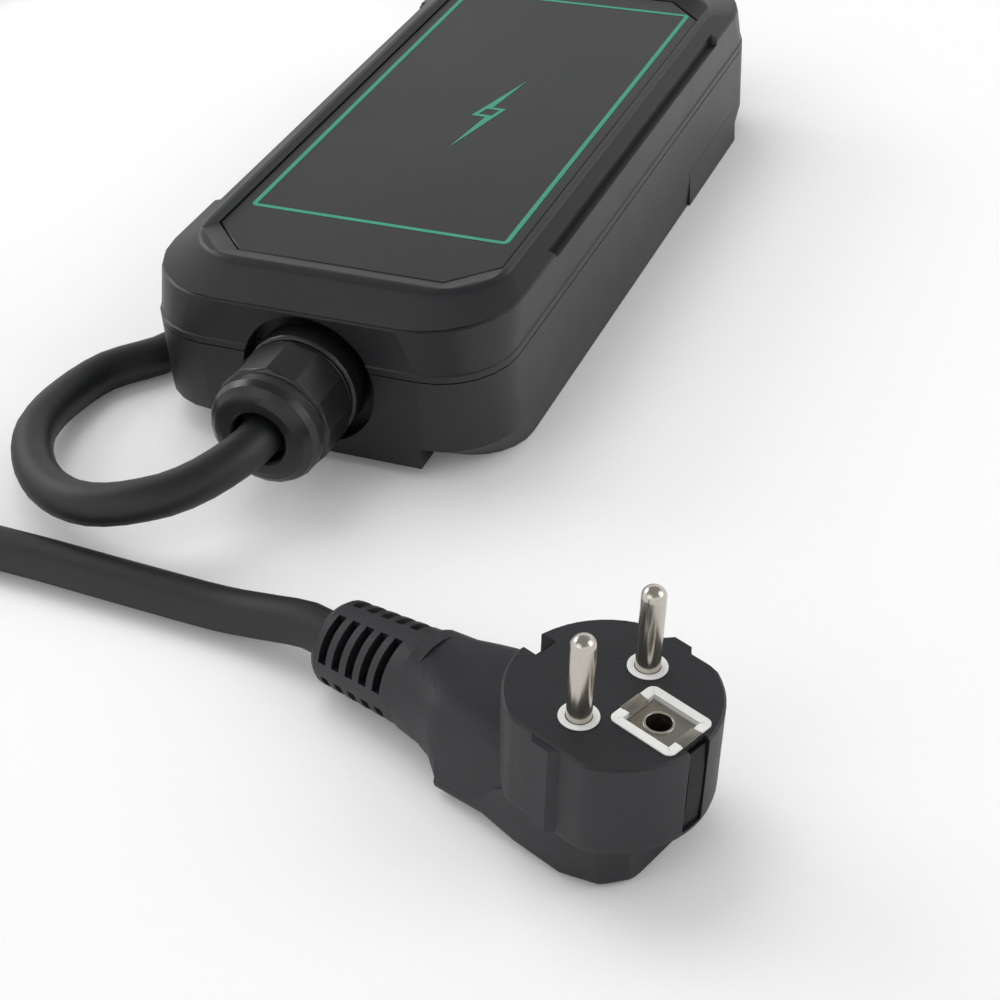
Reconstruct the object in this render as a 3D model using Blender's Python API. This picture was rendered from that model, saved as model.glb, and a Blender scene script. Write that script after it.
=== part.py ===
"""Portable EV charger: control box, two cable glands, mains lead and angled plug.

Metres, X across the box, Y along it (the mains gland faces -Y), Z up. The origin is the
middle of the box's underside. Every sub-part is one named object, built by its own function.
"""
from math import atan2, cos, pi, sin

import bmesh
import bpy
from mathutils import Matrix, Vector
from mathutils.geometry import interpolate_bezier

MM = 0.001
GAP = 0.3 * MM

# Control box
BOX_WIDTH = 92.6 * MM
BOX_LENGTH = 210.2 * MM
BOX_HEIGHT = 43.0 * MM
CORNER_RADIUS = 18.0 * MM
WALL = 3.0 * MM
FLOOR = 3.0 * MM
SEAM_HEIGHT = 27.0 * MM
LIP_HEIGHT = 1.6 * MM
LIP_STEP = 0.3 * MM
WALL_DRAFT = 0.2 * MM
CHAMFER_START = 40.1 * MM
CHAMFER_GROOVE = 0.45 * MM
CHAMFER_RADIUS = 22.4 * MM
CHAMFER_SIDE = 6.0 * MM
CHAMFER_END = 14.6 * MM
RIM_WIDTH = 1.5 * MM
RIM_FILLET = 0.9 * MM
UNDERCUT_HEIGHT = 8.0 * MM
UNDERCUT_SIDE = 0.6 * MM
UNDERCUT_END = 12.0 * MM
END_BLOCK_WIDTH = 55.0 * MM
END_BLOCK_LIFT = 2.4 * MM
FOOT_START = 41.0 * MM
FOOT_LENGTH = 43.0 * MM
NOTCH_START = -63.7 * MM
NOTCH_LENGTH = 132.0 * MM
NOTCH_DEPTH = 2.2 * MM
NOTCH_HEIGHT = 38.4 * MM
NOTCH_SLANT = 3.0 * MM

# Front panel and the light behind it
PANEL_GROOVE = 0.4 * MM
PANEL_END_SLOPE = 4.4 * MM
PANEL_SIDE_SLOPE = 0.8 * MM
PANEL_SINK = 1.6 * MM
PANEL_THICKNESS = 1.2 * MM
PANEL_CUT = 11.0 * MM
TOP_WALL = 2.4 * MM
LIGHT_WIDTH = 9.0 * MM
LIGHT_LENGTH = 52.0 * MM
LIGHT_X = 2.0 * MM
LIGHT_Y = -7.0 * MM
LIGHT_FLANGE = 1.8 * MM
LIGHT_FLANGE_THICKNESS = 1.0 * MM
LED_SIZE = (3.5 * MM, 2.8 * MM, 1.0 * MM)
LED_COUNT = 4
LED_PITCH = 12.0 * MM
INDICATOR_WIDTH = 17.0 * MM
INDICATOR_LENGTH = 76.0 * MM
INDICATOR_THICKNESS = 1.2 * MM
INDICATOR_POST_RADIUS = 2.6 * MM
INDICATOR_POST_PITCH = 66.0 * MM

# Screws and bosses
SCREW_RADIUS = 1.6 * MM
SCREW_HEAD_RADIUS = 3.2 * MM
SCREW_HEAD_HEIGHT = 2.2 * MM
SCREW_SINK = 2.4 * MM
SCREW_BITE = 9.0 * MM
BOSS_RADIUS = 4.4 * MM
BOSS_X = 39.3 * MM
BOSS_Y = (-80.0 * MM, 2.0 * MM, 82.0 * MM)
SMALL_SCREW_RADIUS = 1.1 * MM
SMALL_HEAD_RADIUS = 2.3 * MM
SMALL_HEAD_HEIGHT = 1.4 * MM
SMALL_SCREW_LENGTH = 5.5 * MM

# Boards and what stands on them
BOARD_WIDTH = 56.0 * MM
BOARD_LENGTH = 150.0 * MM
BOARD_THICKNESS = 1.6 * MM
BOARD_HEIGHT = 11.0 * MM
BOARD_POST_RADIUS = 3.2 * MM
BOARD_POST_X = 23.0 * MM
BOARD_POST_Y = 62.0 * MM
RIB_THICKNESS = 1.6 * MM
RIB_HEIGHT = 3.4 * MM
RIB_Y = (-40.0 * MM, 40.0 * MM)
RELAY_SIZE = (12.8 * MM, 29.0 * MM, 15.6 * MM)
RELAY_Y = -2.0 * MM
RELAY_X = (-16.5 * MM, 0.5 * MM)
SUPPLY_SIZE = (22.0 * MM, 26.0 * MM, 17.0 * MM)
SUPPLY_PLACE = (-11.0 * MM, 34.0 * MM)
CAPACITOR_RADIUS = 5.0 * MM
CAPACITOR_HEIGHT = 16.0 * MM
CAPACITOR_X = 19.0 * MM
CAPACITOR_Y = (-10.0 * MM, 4.0 * MM)
VARISTOR_RADIUS = 5.0 * MM
VARISTOR_THICKNESS = 4.2 * MM
VARISTOR_PLACE = (19.0 * MM, -28.0 * MM)
FUSE_RADIUS = 2.6 * MM
FUSE_LENGTH = 20.0 * MM
FUSE_PLACE = (-20.0 * MM, -33.0 * MM)
COIL_RADIUS = 10.5 * MM
COIL_BORE = 5.8 * MM
COIL_LENGTH = 8.0 * MM
COIL_Y = -56.0 * MM
TERMINAL_SIZE = (24.0 * MM, 9.0 * MM, 11.0 * MM)
TERMINAL_Y = (-32.0 * MM, 62.0 * MM)
TERMINAL_X = (0.0 * MM, 0.0 * MM)
WIRE_HOLE = 2.0 * MM
RIBBON_WIDTH = 10.0 * MM
RIBBON_THICKNESS = 0.8 * MM
RIBBON_X = 18.0 * MM
RIBBON_Y = 18.0 * MM

# Cable gland, measured along its axis from the pocket's floor outwards
POCKET_DEPTH = 6.0 * MM
POCKET_FLOOR = 3.5 * MM
POCKET_RADIUS = 17.0 * MM
GLAND_HEIGHT = 22.0 * MM
GLAND_BORE = 5.8 * MM
GLAND_THREAD = 9.4 * MM
GLAND_HEX = 22.0 * MM
GLAND_HEX_LENGTH = 3.4 * MM
COLLAR_RADIUS = 14.2 * MM
COLLAR_LENGTH = 11.0 * MM
COLLAR_GROOVE = 1.2 * MM
THREAD_LENGTH = 11.0 * MM
NUT_RADIUS = 14.2 * MM
NUT_FACETS = 12
NUT_LENGTH = 13.2 * MM
NUT_GROOVE = 0.7 * MM
DOME_RADIUS = 13.7 * MM
DOME_LENGTH = 6.6 * MM
DOME_MOUTH = 6.6 * MM
SEAL_WALL = 2.6 * MM
SEAL_NOSE = 3.6 * MM
LOCKNUT_HEX = 24.0 * MM
LOCKNUT_LENGTH = 4.0 * MM

# Mains lead
CORD_DIAMETER = 10.0 * MM
CORD_START = 3.0 * MM
CONDUCTOR_DIAMETER = 2.8 * MM
CONDUCTOR_PITCH = 1.9 * MM

# Plug, in its own frame: X along the pins, Y towards its lead, Z out of its face
PLUG_PLACE = (108.9 * MM, -196.4 * MM)
PLUG_TURN = 72.6 * pi / 180
FACE_TURN = -4.0 * pi / 180
FACE_TILT = 4.0 * pi / 180
FACE_ROLL = 2.1 * pi / 180
FACE_HEIGHT = 33.0 * MM
FACE_RADIUS = 20.5 * MM
FLAT_HALF = 18.4 * MM
TAB_REACH = 1.5 * MM
TAB_WIDTH = 6.4 * MM
DISC_DEPTH = 21.0 * MM
SLOT_WIDTH = 5.4 * MM
FRONT_SLOT_DEPTH = 1.6 * MM
REAR_SLOT_DEPTH = 4.0 * MM
REAR_SLOT_FLOOR = 20.0 * MM
FRONT_SLOT_FLOOR = 13.0 * MM
PIN_RADIUS = 2.4 * MM
PIN_PITCH = 19.0 * MM
PIN_LENGTH = 19.0 * MM
PIN_ROOT = 15.0 * MM
COLLAR_WHITE = 3.3 * MM
CARRIER_RISE = 0.25 * MM
CARRIER_PLATE = 1.6 * MM
CARRIER_DEPTH = 3.4 * MM
FRAME_WIDTH = 11.4 * MM
FRAME_START = 4.6 * MM
FRAME_END = 18.0 * MM
FRAME_BAR = 1.3 * MM
EARTH_HOLE = 2.5 * MM
EARTH_OFFSET = 10.8 * MM
EARTH_SHEET = 0.8 * MM
EARTH_SLEEVE = 9.0 * MM
EARTH_TONGUE_WIDTH = 4.4 * MM
CLIP_SHEET = 0.6 * MM
CLIP_BOW = 0.3 * MM
CLIP_TOP = 0.8 * MM
RELIEF_END = 72.5 * MM
RELIEF_RADIUS = 10.2 * MM
RELIEF_CORE = 7.4 * MM
RELIEF_AXIS = 9.4 * MM
RELIEF_DROP = 1.7 * MM
RELIEF_TAPER = 0.15
RELIEF_ROWS = 5
RELIEF_PITCH = 3.9 * MM
RELIEF_SLOT = 2.1 * MM
RELIEF_LEAD_IN = 4.0 * MM
RELIEF_START = 44.0 * MM
RELIEF_SIDES = 32
RELIEF_RIB_SIDES = 2

# Grip sections along the plug's Y: half width, lowest, highest, squareness
GRIP = (
    (47.0 * MM, 11.2 * MM, 1.0 * MM, 21.6 * MM, 2.2),
    (41.0 * MM, 12.0 * MM, 1.0 * MM, 21.2 * MM, 2.4),
    (36.5 * MM, 13.0 * MM, 0.5 * MM, 21.0 * MM, 3.0),
    (32.5 * MM, 14.8 * MM, 0.0 * MM, 20.8 * MM, 4.0),
    (19.0 * MM, 15.4 * MM, 0.0 * MM, 20.8 * MM, 4.4),
    (6.0 * MM, 15.8 * MM, 0.0 * MM, 21.0 * MM, 4.4),
)
GRIP_LEAN = 0.12
HEEL_FRONT = -12.0 * MM
HEEL_HALF = 18.2 * MM

# The lead's route from the gland's mouth to the plug, chosen by hand
ROUTE = (
    (0.0, -131.7, 22.0), (-1.6, -136.9, 21.2), (-4.2, -141.7, 20.2), (-7.4, -146.1, 19.1),
    (-12.3, -150.7, 17.9), (-18.2, -153.9, 16.9), (-25.0, -155.5, 15.4), (-32.6, -155.1, 13.7),
    (-40.6, -152.3, 12.2), (-49.0, -146.9, 10.8), (-57.4, -138.3, 9.5), (-63.8, -127.9, 8.3),
    (-66.6, -117.1, 7.1), (-67.2, -108.1, 6.0), (-66.6, -99.7, 5.2), (-64.4, -93.5, 5.1),
    (-60.4, -88.5, 5.1), (-55.6, -83.5, 5.1), (-52.2, -74.7, 5.1), (-51.4, -44.7, 5.1),
    (-51.4, 5.3, 5.1), (-51.4, 55.3, 5.1), (-52.0, 95.3, 5.1), (-54.0, 127.3, 5.1), (-62.0, 153.3, 5.1),
    (-84.0, 171.3, 5.1), (-116.0, 175.3, 5.1), (-150.0, 167.3, 5.1), (-186.0, 156.3, 5.1),
    (-220.0, 142.3, 5.1), (-246.0, 119.3, 5.1), (-249.0, 87.3, 5.1), (-232.0, 55.3, 5.1),
    (-200.0, 7.3, 5.1), (-166.0, -44.7, 5.1), (-132.0, -96.7, 5.1), (-103.0, -139.7, 5.1),
    (-84.0, -158.7, 5.1), (-62.0, -165.1, 5.1), (-36.0, -166.7, 5.1), (-9.2, -168.3, 5.1),
    (10.0, -169.8, 5.1), (22.5, -171.8, 6.4),
)
ROUTE_SHARE = 3.0

STEPS = 6
ROUND = 28


def material(name, colour, roughness, metallic=0.0):
    """A Principled material with one plain colour."""
    found = bpy.data.materials.new(name)
    found.use_nodes = True
    shader = found.node_tree.nodes["Principled BSDF"]
    shader.inputs["Base Color"].default_value = (*colour, 1.0)
    shader.inputs["Roughness"].default_value = roughness
    shader.inputs["Metallic"].default_value = metallic
    found.diffuse_color = (*colour, 1.0)
    return found


def add_object(name, mesh, finish):
    """Link a mesh as a named object with its own copy of a finish."""
    thing = bpy.data.objects.new(name, mesh)
    bpy.context.scene.collection.objects.link(thing)
    if finish:
        mesh.materials.clear()
        mesh.materials.append(finish)
    return thing


def to_mesh(name, bm, smooth=None):
    """Turn a bmesh into a mesh whose faces point out, smooth below the given angle."""
    bmesh.ops.recalc_face_normals(bm, faces=bm.faces)
    mesh = bpy.data.meshes.new(name)
    bm.to_mesh(mesh)
    bm.free()
    if smooth:
        mesh.shade_smooth()
        mesh.set_sharp_from_angle(angle=smooth)
    return mesh


def rounded(half_x, half_y, radius, steps=STEPS):
    """Points of a rectangle with round corners, anticlockwise from +X."""
    points = []
    for k, (sx, sy) in enumerate(((1, 1), (-1, 1), (-1, -1), (1, -1))):
        for i in range(steps + 1):
            a = (k + i / steps) * pi / 2
            x = sx * (half_x - radius) + radius * cos(a)
            y = sy * (half_y - radius) + radius * sin(a)
            points.append((x, y))
    return points


def cut_corners(half_x, half_y, cut):
    """Points of a rectangle with corners cut at 45 degrees."""
    points = []
    for sx, sy, first in ((1, 1, 0), (-1, 1, 1), (-1, -1, 0), (1, -1, 1)):
        pair = [(sx * half_x, sy * (half_y - cut)), (sx * (half_x - cut), sy * half_y)]
        points += pair[::-1] if first else pair
    return points


def circle(radius, count=ROUND, turn=0.0):
    return [(radius * cos(turn + 2 * pi * i / count), radius * sin(turn + 2 * pi * i / count))
            for i in range(count)]


def loft_into(bm, sections, matrix=None):
    """Skin rings of points, all of one count, and close both ends."""
    rings = [[bm.verts.new(matrix @ Vector(p) if matrix else p) for p in ring]
             for ring in sections]
    for low, high in zip(rings, rings[1:]):
        for i in range(len(low)):
            j = (i + 1) % len(low)
            bm.faces.new((low[i], low[j], high[j], high[i]))
    bm.faces.new(rings[0][::-1])
    bm.faces.new(rings[-1])


def prism_into(bm, points, low, high, matrix=None):
    """Extrude an outline in X and Y between two heights."""
    loft_into(bm, [[(x, y, z) for x, y in points] for z in (low, high)], matrix)


def box_into(bm, low, high, matrix=None):
    """A box between two corners."""
    outline = [(low[0], low[1]), (high[0], low[1]), (high[0], high[1]), (low[0], high[1])]
    prism_into(bm, outline, low[2], high[2], matrix)


def lathe_into(bm, profile, shape=None, count=ROUND, matrix=None):
    """Turn a closed profile of (radius, height) round Z. shape(i) scales a ring's radius."""
    columns = []
    for i in range(count):
        a = 2 * pi * i / count
        columns.append([
            bm.verts.new((matrix or Matrix()) @ Vector((
                r * (shape(i, k) if shape else 1.0) * cos(a),
                r * (shape(i, k) if shape else 1.0) * sin(a), z)))
            for k, (r, z) in enumerate(profile)])
    for i, column in enumerate(columns):
        after = columns[(i + 1) % count]
        for k in range(len(profile)):
            n = (k + 1) % len(profile)
            bm.faces.new((column[k], after[k], after[n], column[n]))


def guide(name, bm):
    """A hidden solid that a Boolean uses."""
    thing = add_object(name, to_mesh(name, bm), None)
    thing.hide_render = True
    thing.hide_viewport = False
    thing.display_type = "WIRE"
    return thing


def combine(target, tool, operation):
    """Add one exact Boolean with a hidden solid."""
    modifier = target.modifiers.new(operation.title(), "BOOLEAN")
    modifier.operation = operation
    modifier.solver = "EXACT"
    modifier.object = tool


def along_y(sign, start):
    """Matrix that lays local Z on the gland's axis, outwards at one end, with local Y upwards."""
    turn = Matrix.Rotation(pi if sign > 0 else 0, 4, "Z") @ Matrix.Rotation(pi / 2, 4, "X")
    return Matrix.Translation((0, sign * start, GLAND_HEIGHT)) @ turn


def place_plug():
    """Matrix from the plug's frame to the world."""
    place = Matrix.Translation((PLUG_PLACE[0], PLUG_PLACE[1], 0))
    return place @ Matrix.Rotation(PLUG_TURN, 4, "Z")


def place_face():
    """Matrix of the plug's face, which leans on the moulded grip about its own middle."""
    middle = Matrix.Translation((0, 0, FACE_HEIGHT))
    lean = Matrix.Rotation(FACE_TILT, 4, "X") @ Matrix.Rotation(FACE_ROLL, 4, "Y")
    return place_plug() @ middle @ lean @ Matrix.Rotation(FACE_TURN, 4, "Z") @ middle.inverted()


# Shared sizes that follow from the driving ones
HALF_X = BOX_WIDTH / 2
HALF_Y = BOX_LENGTH / 2
POCKET_BASE = HALF_Y - POCKET_DEPTH
INNER_FACE = POCKET_BASE - POCKET_FLOOR
RIM_X = HALF_X - CHAMFER_SIDE
RIM_Y = HALF_Y - CHAMFER_END
RECESS_X = RIM_X - RIM_WIDTH - PANEL_SIDE_SLOPE
RECESS_Y = RIM_Y - RIM_WIDTH - PANEL_END_SLOPE
RECESS_Z = BOX_HEIGHT - PANEL_SINK - PANEL_THICKNESS - GAP
CEILING = RECESS_Z - TOP_WALL
PAD_HALF = POCKET_RADIUS + 2.5 * MM
BOARD_TOP = BOARD_HEIGHT + BOARD_THICKNESS
COLLAR_END = GAP + COLLAR_LENGTH
NUT_START = COLLAR_END + GAP
NUT_END = NUT_START + NUT_LENGTH
MOUTH = NUT_END + DOME_LENGTH
SEAL_OUTER = GLAND_THREAD - 1.2 * MM
SEAL_BORE = CORD_DIAMETER / 2 + GAP
SEAL_START = COLLAR_END - 0.5 * MM
LIGHT_BASE = CEILING - GAP - LIGHT_FLANGE_THICKNESS
INDICATOR_TOP = LIGHT_BASE - GAP - LED_SIZE[2] - GAP
INDICATOR_Z = INDICATOR_TOP - INDICATOR_THICKNESS
SCREW_TOP = SEAM_HEIGHT + SCREW_BITE


def lower_housing(finish):
    """Moulded tray with its undercut skirt, end blocks, feet, bosses, posts and ribs."""
    bm = bmesh.new()
    top = SEAM_HEIGHT - GAP / 2
    sections = (
        (0.0, HALF_X - WALL_DRAFT - UNDERCUT_SIDE, HALF_Y - UNDERCUT_END, 0.8 * CORNER_RADIUS),
        (UNDERCUT_HEIGHT, HALF_X - WALL_DRAFT, HALF_Y - WALL_DRAFT, CORNER_RADIUS),
        (top, HALF_X, HALF_Y, CORNER_RADIUS),
    )
    loft_into(bm, [[(x, y, z) for x, y in rounded(a, b, r)] for z, a, b, r in sections])
    shell = add_object("lower_housing", to_mesh("lower_housing", bm, 0.6), finish)

    inner = bmesh.new()
    plan = rounded(HALF_X - WALL, HALF_Y - WALL, CORNER_RADIUS - WALL)
    base = rounded(HALF_X - WALL - 1.5 * MM, HALF_Y - UNDERCUT_END, CORNER_RADIUS - WALL)
    loft_into(inner, [[(x, y, FLOOR) for x, y in base],
                      [(x, y, UNDERCUT_HEIGHT + FLOOR) for x, y in plan],
                      [(x, y, SEAM_HEIGHT + WALL) for x, y in plan]])
    outer = bmesh.new()
    half = END_BLOCK_WIDTH / 2
    for sign in (-1, 1):
        ends = sorted((sign * (HALF_Y - WALL_DRAFT), sign * (HALF_Y - 2 * UNDERCUT_END)))
        box_into(outer, (-half, ends[0], END_BLOCK_LIFT), (half, ends[1], FLOOR + UNDERCUT_HEIGHT))
    combine(shell, guide("guide_end_blocks", outer), "UNION")
    feet = bmesh.new()
    for sign in (-1, 1):
        sides = sorted((sign * (HALF_X - WALL_DRAFT / 2), sign * (HALF_X - 3 * WALL)))
        box_into(feet, (sides[0], FOOT_START, 0.0),
                 (sides[1], FOOT_START + FOOT_LENGTH, FLOOR + UNDERCUT_HEIGHT - 0.4 * MM))
    combine(shell, guide("guide_feet", feet), "UNION")
    combine(shell, guide("guide_lower_cavity", inner), "DIFFERENCE")

    add = bmesh.new()
    for sign in (-1, 1):
        ends = sorted((sign * INNER_FACE, sign * (HALF_Y - WALL / 2)))
        box_into(add, (-PAD_HALF, ends[0], FLOOR / 2), (PAD_HALF, ends[1], top))
    for x in (-BOSS_X, BOSS_X):
        for y in BOSS_Y:
            prism_into(add, circle(BOSS_RADIUS, 12), FLOOR / 2, top, Matrix.Translation((x, y, 0)))
    for x in (-BOARD_POST_X, BOARD_POST_X):
        for y in (-BOARD_POST_Y, BOARD_POST_Y):
            prism_into(add, circle(BOARD_POST_RADIUS, 10), FLOOR / 2, BOARD_HEIGHT - GAP,
                       Matrix.Translation((x, y, 0)))
    for y in RIB_Y:
        box_into(add, (WALL - HALF_X, y, FLOOR / 2),
                 (HALF_X - WALL, y + RIB_THICKNESS, FLOOR + RIB_HEIGHT))
    combine(shell, guide("guide_lower_bosses", add), "UNION")

    holes = bmesh.new()
    for sign in (-1, 1):
        prism_into(holes, circle(POCKET_RADIUS, 36), 0.0, 4 * POCKET_DEPTH, along_y(sign, POCKET_BASE))
    combine(shell, guide("guide_lower_pockets", holes), "DIFFERENCE")
    bores = bmesh.new()
    for sign in (-1, 1):
        prism_into(bores, circle(GLAND_THREAD + GAP), -2 * POCKET_FLOOR, POCKET_DEPTH / 2,
                   along_y(sign, POCKET_BASE))
    for x in (-BOSS_X, BOSS_X):
        for y in BOSS_Y:
            at = Matrix.Translation((x, y, 0))
            profile = [(SCREW_HEAD_RADIUS + GAP, -1 * MM),
                       (SCREW_HEAD_RADIUS + GAP, SCREW_SINK + SCREW_HEAD_HEIGHT + GAP),
                       (SCREW_RADIUS + GAP, SCREW_SINK + SCREW_HEAD_HEIGHT + GAP),
                       (SCREW_RADIUS + GAP, SEAM_HEIGHT + 1 * MM)]
            loft_into(bores, [[(a, b, z) for a, b in circle(r, 12)] for r, z in profile], at)
    for x in (-BOARD_POST_X, BOARD_POST_X):
        for y in (-BOARD_POST_Y, BOARD_POST_Y):
            prism_into(bores, circle(SMALL_SCREW_RADIUS + GAP, 8),
                       BOARD_TOP - SMALL_SCREW_LENGTH - GAP, BOARD_HEIGHT + 1 * MM,
                       Matrix.Translation((x, y, 0)))
    combine(shell, guide("guide_lower_bores", bores), "DIFFERENCE")
    grooves = bmesh.new()
    for sign in (-1, 1):
        strip_into(grooves, sign, 0.7 * MM, SEAM_HEIGHT - GAP / 2 - 1.9 * MM, SEAM_HEIGHT + MM, 0.3 * MM)
    combine(shell, guide("guide_seal_groove", grooves), "DIFFERENCE")
    return shell


def strip_into(bm, sign, half_width, low, high, extra=0.0):
    """A strip that follows the wall's middle on one side, clear of both gland pockets."""
    middle = WALL / 2
    path = [(x, y) for x, y in rounded(HALF_X - middle, HALF_Y - middle, CORNER_RADIUS - middle)
            if x > 0]
    path = sorted((p for p in path), key=lambda p: atan2(p[1], p[0]))
    stop = 20.0 * MM - extra
    first, last = path[0], path[-1]
    path = [(stop, first[1])] + path + [(stop, last[1])]
    rows = []
    for i, point in enumerate(path):
        before, after = path[max(i - 1, 0)], path[min(i + 1, len(path) - 1)]
        d = Vector((after[0] - before[0], after[1] - before[1])).normalized()
        n = Vector((d.y, -d.x)) * half_width
        rows.append([bm.verts.new((sign * (point[0] + s * n.x), point[1] + s * n.y, z))
                     for s, z in ((1, low), (1, high), (-1, high), (-1, low))])
    for a, b in zip(rows, rows[1:]):
        for k in range(4):
            bm.faces.new((a[k], b[k], b[(k + 1) % 4], a[(k + 1) % 4]))
    bm.faces.new(rows[0])
    bm.faces.new(rows[-1][::-1])


def upper_housing(finish):
    """Moulded cover: lip, groove, wide end chamfers, rim, panel recess and side notches."""
    bm = bmesh.new()
    bottom = SEAM_HEIGHT + GAP / 2
    groove = CHAMFER_GROOVE
    top_wall = CHAMFER_START - 0.3 * MM
    sections = (
        (bottom, 0.0, 0.0, CORNER_RADIUS),
        (bottom + LIP_HEIGHT, 0.0, 0.0, CORNER_RADIUS),
        (bottom + LIP_HEIGHT + LIP_STEP, LIP_STEP, LIP_STEP, CORNER_RADIUS),
        (top_wall - groove, WALL_DRAFT, 2 * WALL_DRAFT, CHAMFER_RADIUS),
        (top_wall, WALL_DRAFT + groove, 2 * WALL_DRAFT + groove, CHAMFER_RADIUS),
        (CHAMFER_START, WALL_DRAFT + 0.6 * groove, 2 * WALL_DRAFT + 0.6 * groove, CHAMFER_RADIUS),
    )
    rings = [[(x, y, z) for x, y in rounded(HALF_X - a, HALF_Y - b, r)] for z, a, b, r in sections]
    side, end, fillet = CHAMFER_SIDE, CHAMFER_END, RIM_FILLET
    for z, a, b in ((BOX_HEIGHT - fillet, side - 0.35 * fillet, end - fillet),
                    (BOX_HEIGHT - 0.3 * fillet, side, end - 0.35 * fillet),
                    (BOX_HEIGHT, side + 0.5 * fillet, end + 0.5 * fillet)):
        rings.append([(x, y, z) for x, y in rounded(HALF_X - a, HALF_Y - b, 0.7 * CHAMFER_RADIUS)])
    loft_into(bm, rings)
    shell = add_object("upper_housing", to_mesh("upper_housing", bm, 0.5), finish)

    inner = bmesh.new()
    low = rounded(HALF_X - WALL, HALF_Y - WALL, CORNER_RADIUS - WALL)
    high = rounded(RIM_X - WALL, RIM_Y - WALL, CORNER_RADIUS / 2)
    loft_into(inner, [[(x, y, SEAM_HEIGHT - WALL) for x, y in low],
                      [(x, y, CHAMFER_START - 3.6 * MM) for x, y in low],
                      [(x, y, CEILING) for x, y in high]])
    combine(shell, guide("guide_upper_cavity", inner), "DIFFERENCE")

    add = bmesh.new()
    for sign in (-1, 1):
        ends = sorted((sign * INNER_FACE, sign * (HALF_Y - WALL / 2)))
        box_into(add, (-PAD_HALF, ends[0], bottom), (PAD_HALF, ends[1], CHAMFER_START - 0.6 * MM))
    for x in (-BOSS_X, BOSS_X):
        for y in BOSS_Y:
            prism_into(add, circle(BOSS_RADIUS, 12), bottom, SCREW_TOP + 3 * MM,
                       Matrix.Translation((x, y, 0)))
    for sign in (-1, 1):
        prism_into(add, circle(INDICATOR_POST_RADIUS, 14), INDICATOR_TOP + GAP, CEILING + 1 * MM,
                   Matrix.Translation((LIGHT_X, LIGHT_Y + sign * INDICATOR_POST_PITCH / 2, 0)))
    combine(shell, guide("guide_upper_bosses", add), "UNION")

    recess = bmesh.new()
    low = cut_corners(RECESS_X, RECESS_Y, PANEL_CUT)
    wide = cut_corners(RECESS_X + PANEL_SIDE_SLOPE, RECESS_Y + PANEL_END_SLOPE, PANEL_CUT - 1.8 * MM)
    loft_into(recess, [[(x, y, RECESS_Z) for x, y in low],
                       [(x, y, BOX_HEIGHT - PANEL_SINK) for x, y in low],
                       [(x, y, BOX_HEIGHT) for x, y in wide],
                       [(x, y, BOX_HEIGHT + 5 * MM) for x, y in wide]])
    combine(shell, guide("guide_panel_recess", recess), "DIFFERENCE")
    notch = bmesh.new()
    for sign in (-1, 1):
        face = HALF_X - NOTCH_DEPTH - WALL_DRAFT
        rows = []
        for x in (face, HALF_X + 4 * MM):
            start, end = NOTCH_START, NOTCH_START + NOTCH_LENGTH
            rows.append([(sign * x, start + NOTCH_SLANT, NOTCH_HEIGHT),
                         (sign * x, end - NOTCH_SLANT, NOTCH_HEIGHT),
                         (sign * x, end, BOX_HEIGHT + MM), (sign * x, start, BOX_HEIGHT + MM)])
        loft_into(notch, rows)
    combine(shell, guide("guide_side_notches", notch), "DIFFERENCE")
    cuts = bmesh.new()
    for sign in (-1, 1):
        prism_into(cuts, circle(POCKET_RADIUS, 36), 0.0, 4 * POCKET_DEPTH, along_y(sign, POCKET_BASE))
    combine(shell, guide("guide_upper_pockets", cuts), "DIFFERENCE")
    bores = bmesh.new()
    for sign in (-1, 1):
        prism_into(bores, circle(GLAND_THREAD + GAP), -2 * POCKET_FLOOR, POCKET_DEPTH / 2,
                   along_y(sign, POCKET_BASE))
        at = Matrix.Translation((LIGHT_X, LIGHT_Y + sign * INDICATOR_POST_PITCH / 2, 0))
        prism_into(bores, circle(SMALL_SCREW_RADIUS + GAP, 8), INDICATOR_TOP - 1 * MM,
                   INDICATOR_Z + SMALL_SCREW_LENGTH + GAP, at)
    for x in (-BOSS_X, BOSS_X):
        for y in BOSS_Y:
            prism_into(bores, circle(SCREW_RADIUS + GAP, 12), SEAM_HEIGHT - MM, SCREW_TOP + GAP,
                       Matrix.Translation((x, y, 0)))
    light = (LIGHT_WIDTH / 2, LIGHT_LENGTH / 2)
    box_into(bores, (LIGHT_X - light[0], LIGHT_Y - light[1], CEILING - 1 * MM),
             (LIGHT_X + light[0], LIGHT_Y + light[1], RECESS_Z + 1 * MM))
    combine(shell, guide("guide_upper_bores", bores), "DIFFERENCE")
    return shell


def front_panel(finish):
    """Flat front plate with cut corners, sunk in the cover's recess."""
    bm = bmesh.new()
    low = BOX_HEIGHT - PANEL_SINK - PANEL_THICKNESS
    high = BOX_HEIGHT - PANEL_SINK
    edge = 0.25 * MM
    half = (RECESS_X - PANEL_GROOVE, RECESS_Y - PANEL_GROOVE)
    loft_into(bm, [[(x, y, z) for x, y in cut_corners(half[0] - e, half[1] - e, PANEL_CUT - PANEL_GROOVE / 2)]
                   for z, e in ((low, 0), (high - edge, 0), (high, edge))])
    return add_object("front_panel", to_mesh("front_panel", bm), finish)


def seal_strip(name, sign, finish):
    """Soft strip in the seam's groove, one for each side of the box."""
    bm = bmesh.new()
    top = SEAM_HEIGHT - GAP / 2
    strip_into(bm, sign, 0.4 * MM, top - 1.6 * MM, top)
    return add_object(name, to_mesh(name, bm), finish)


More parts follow.
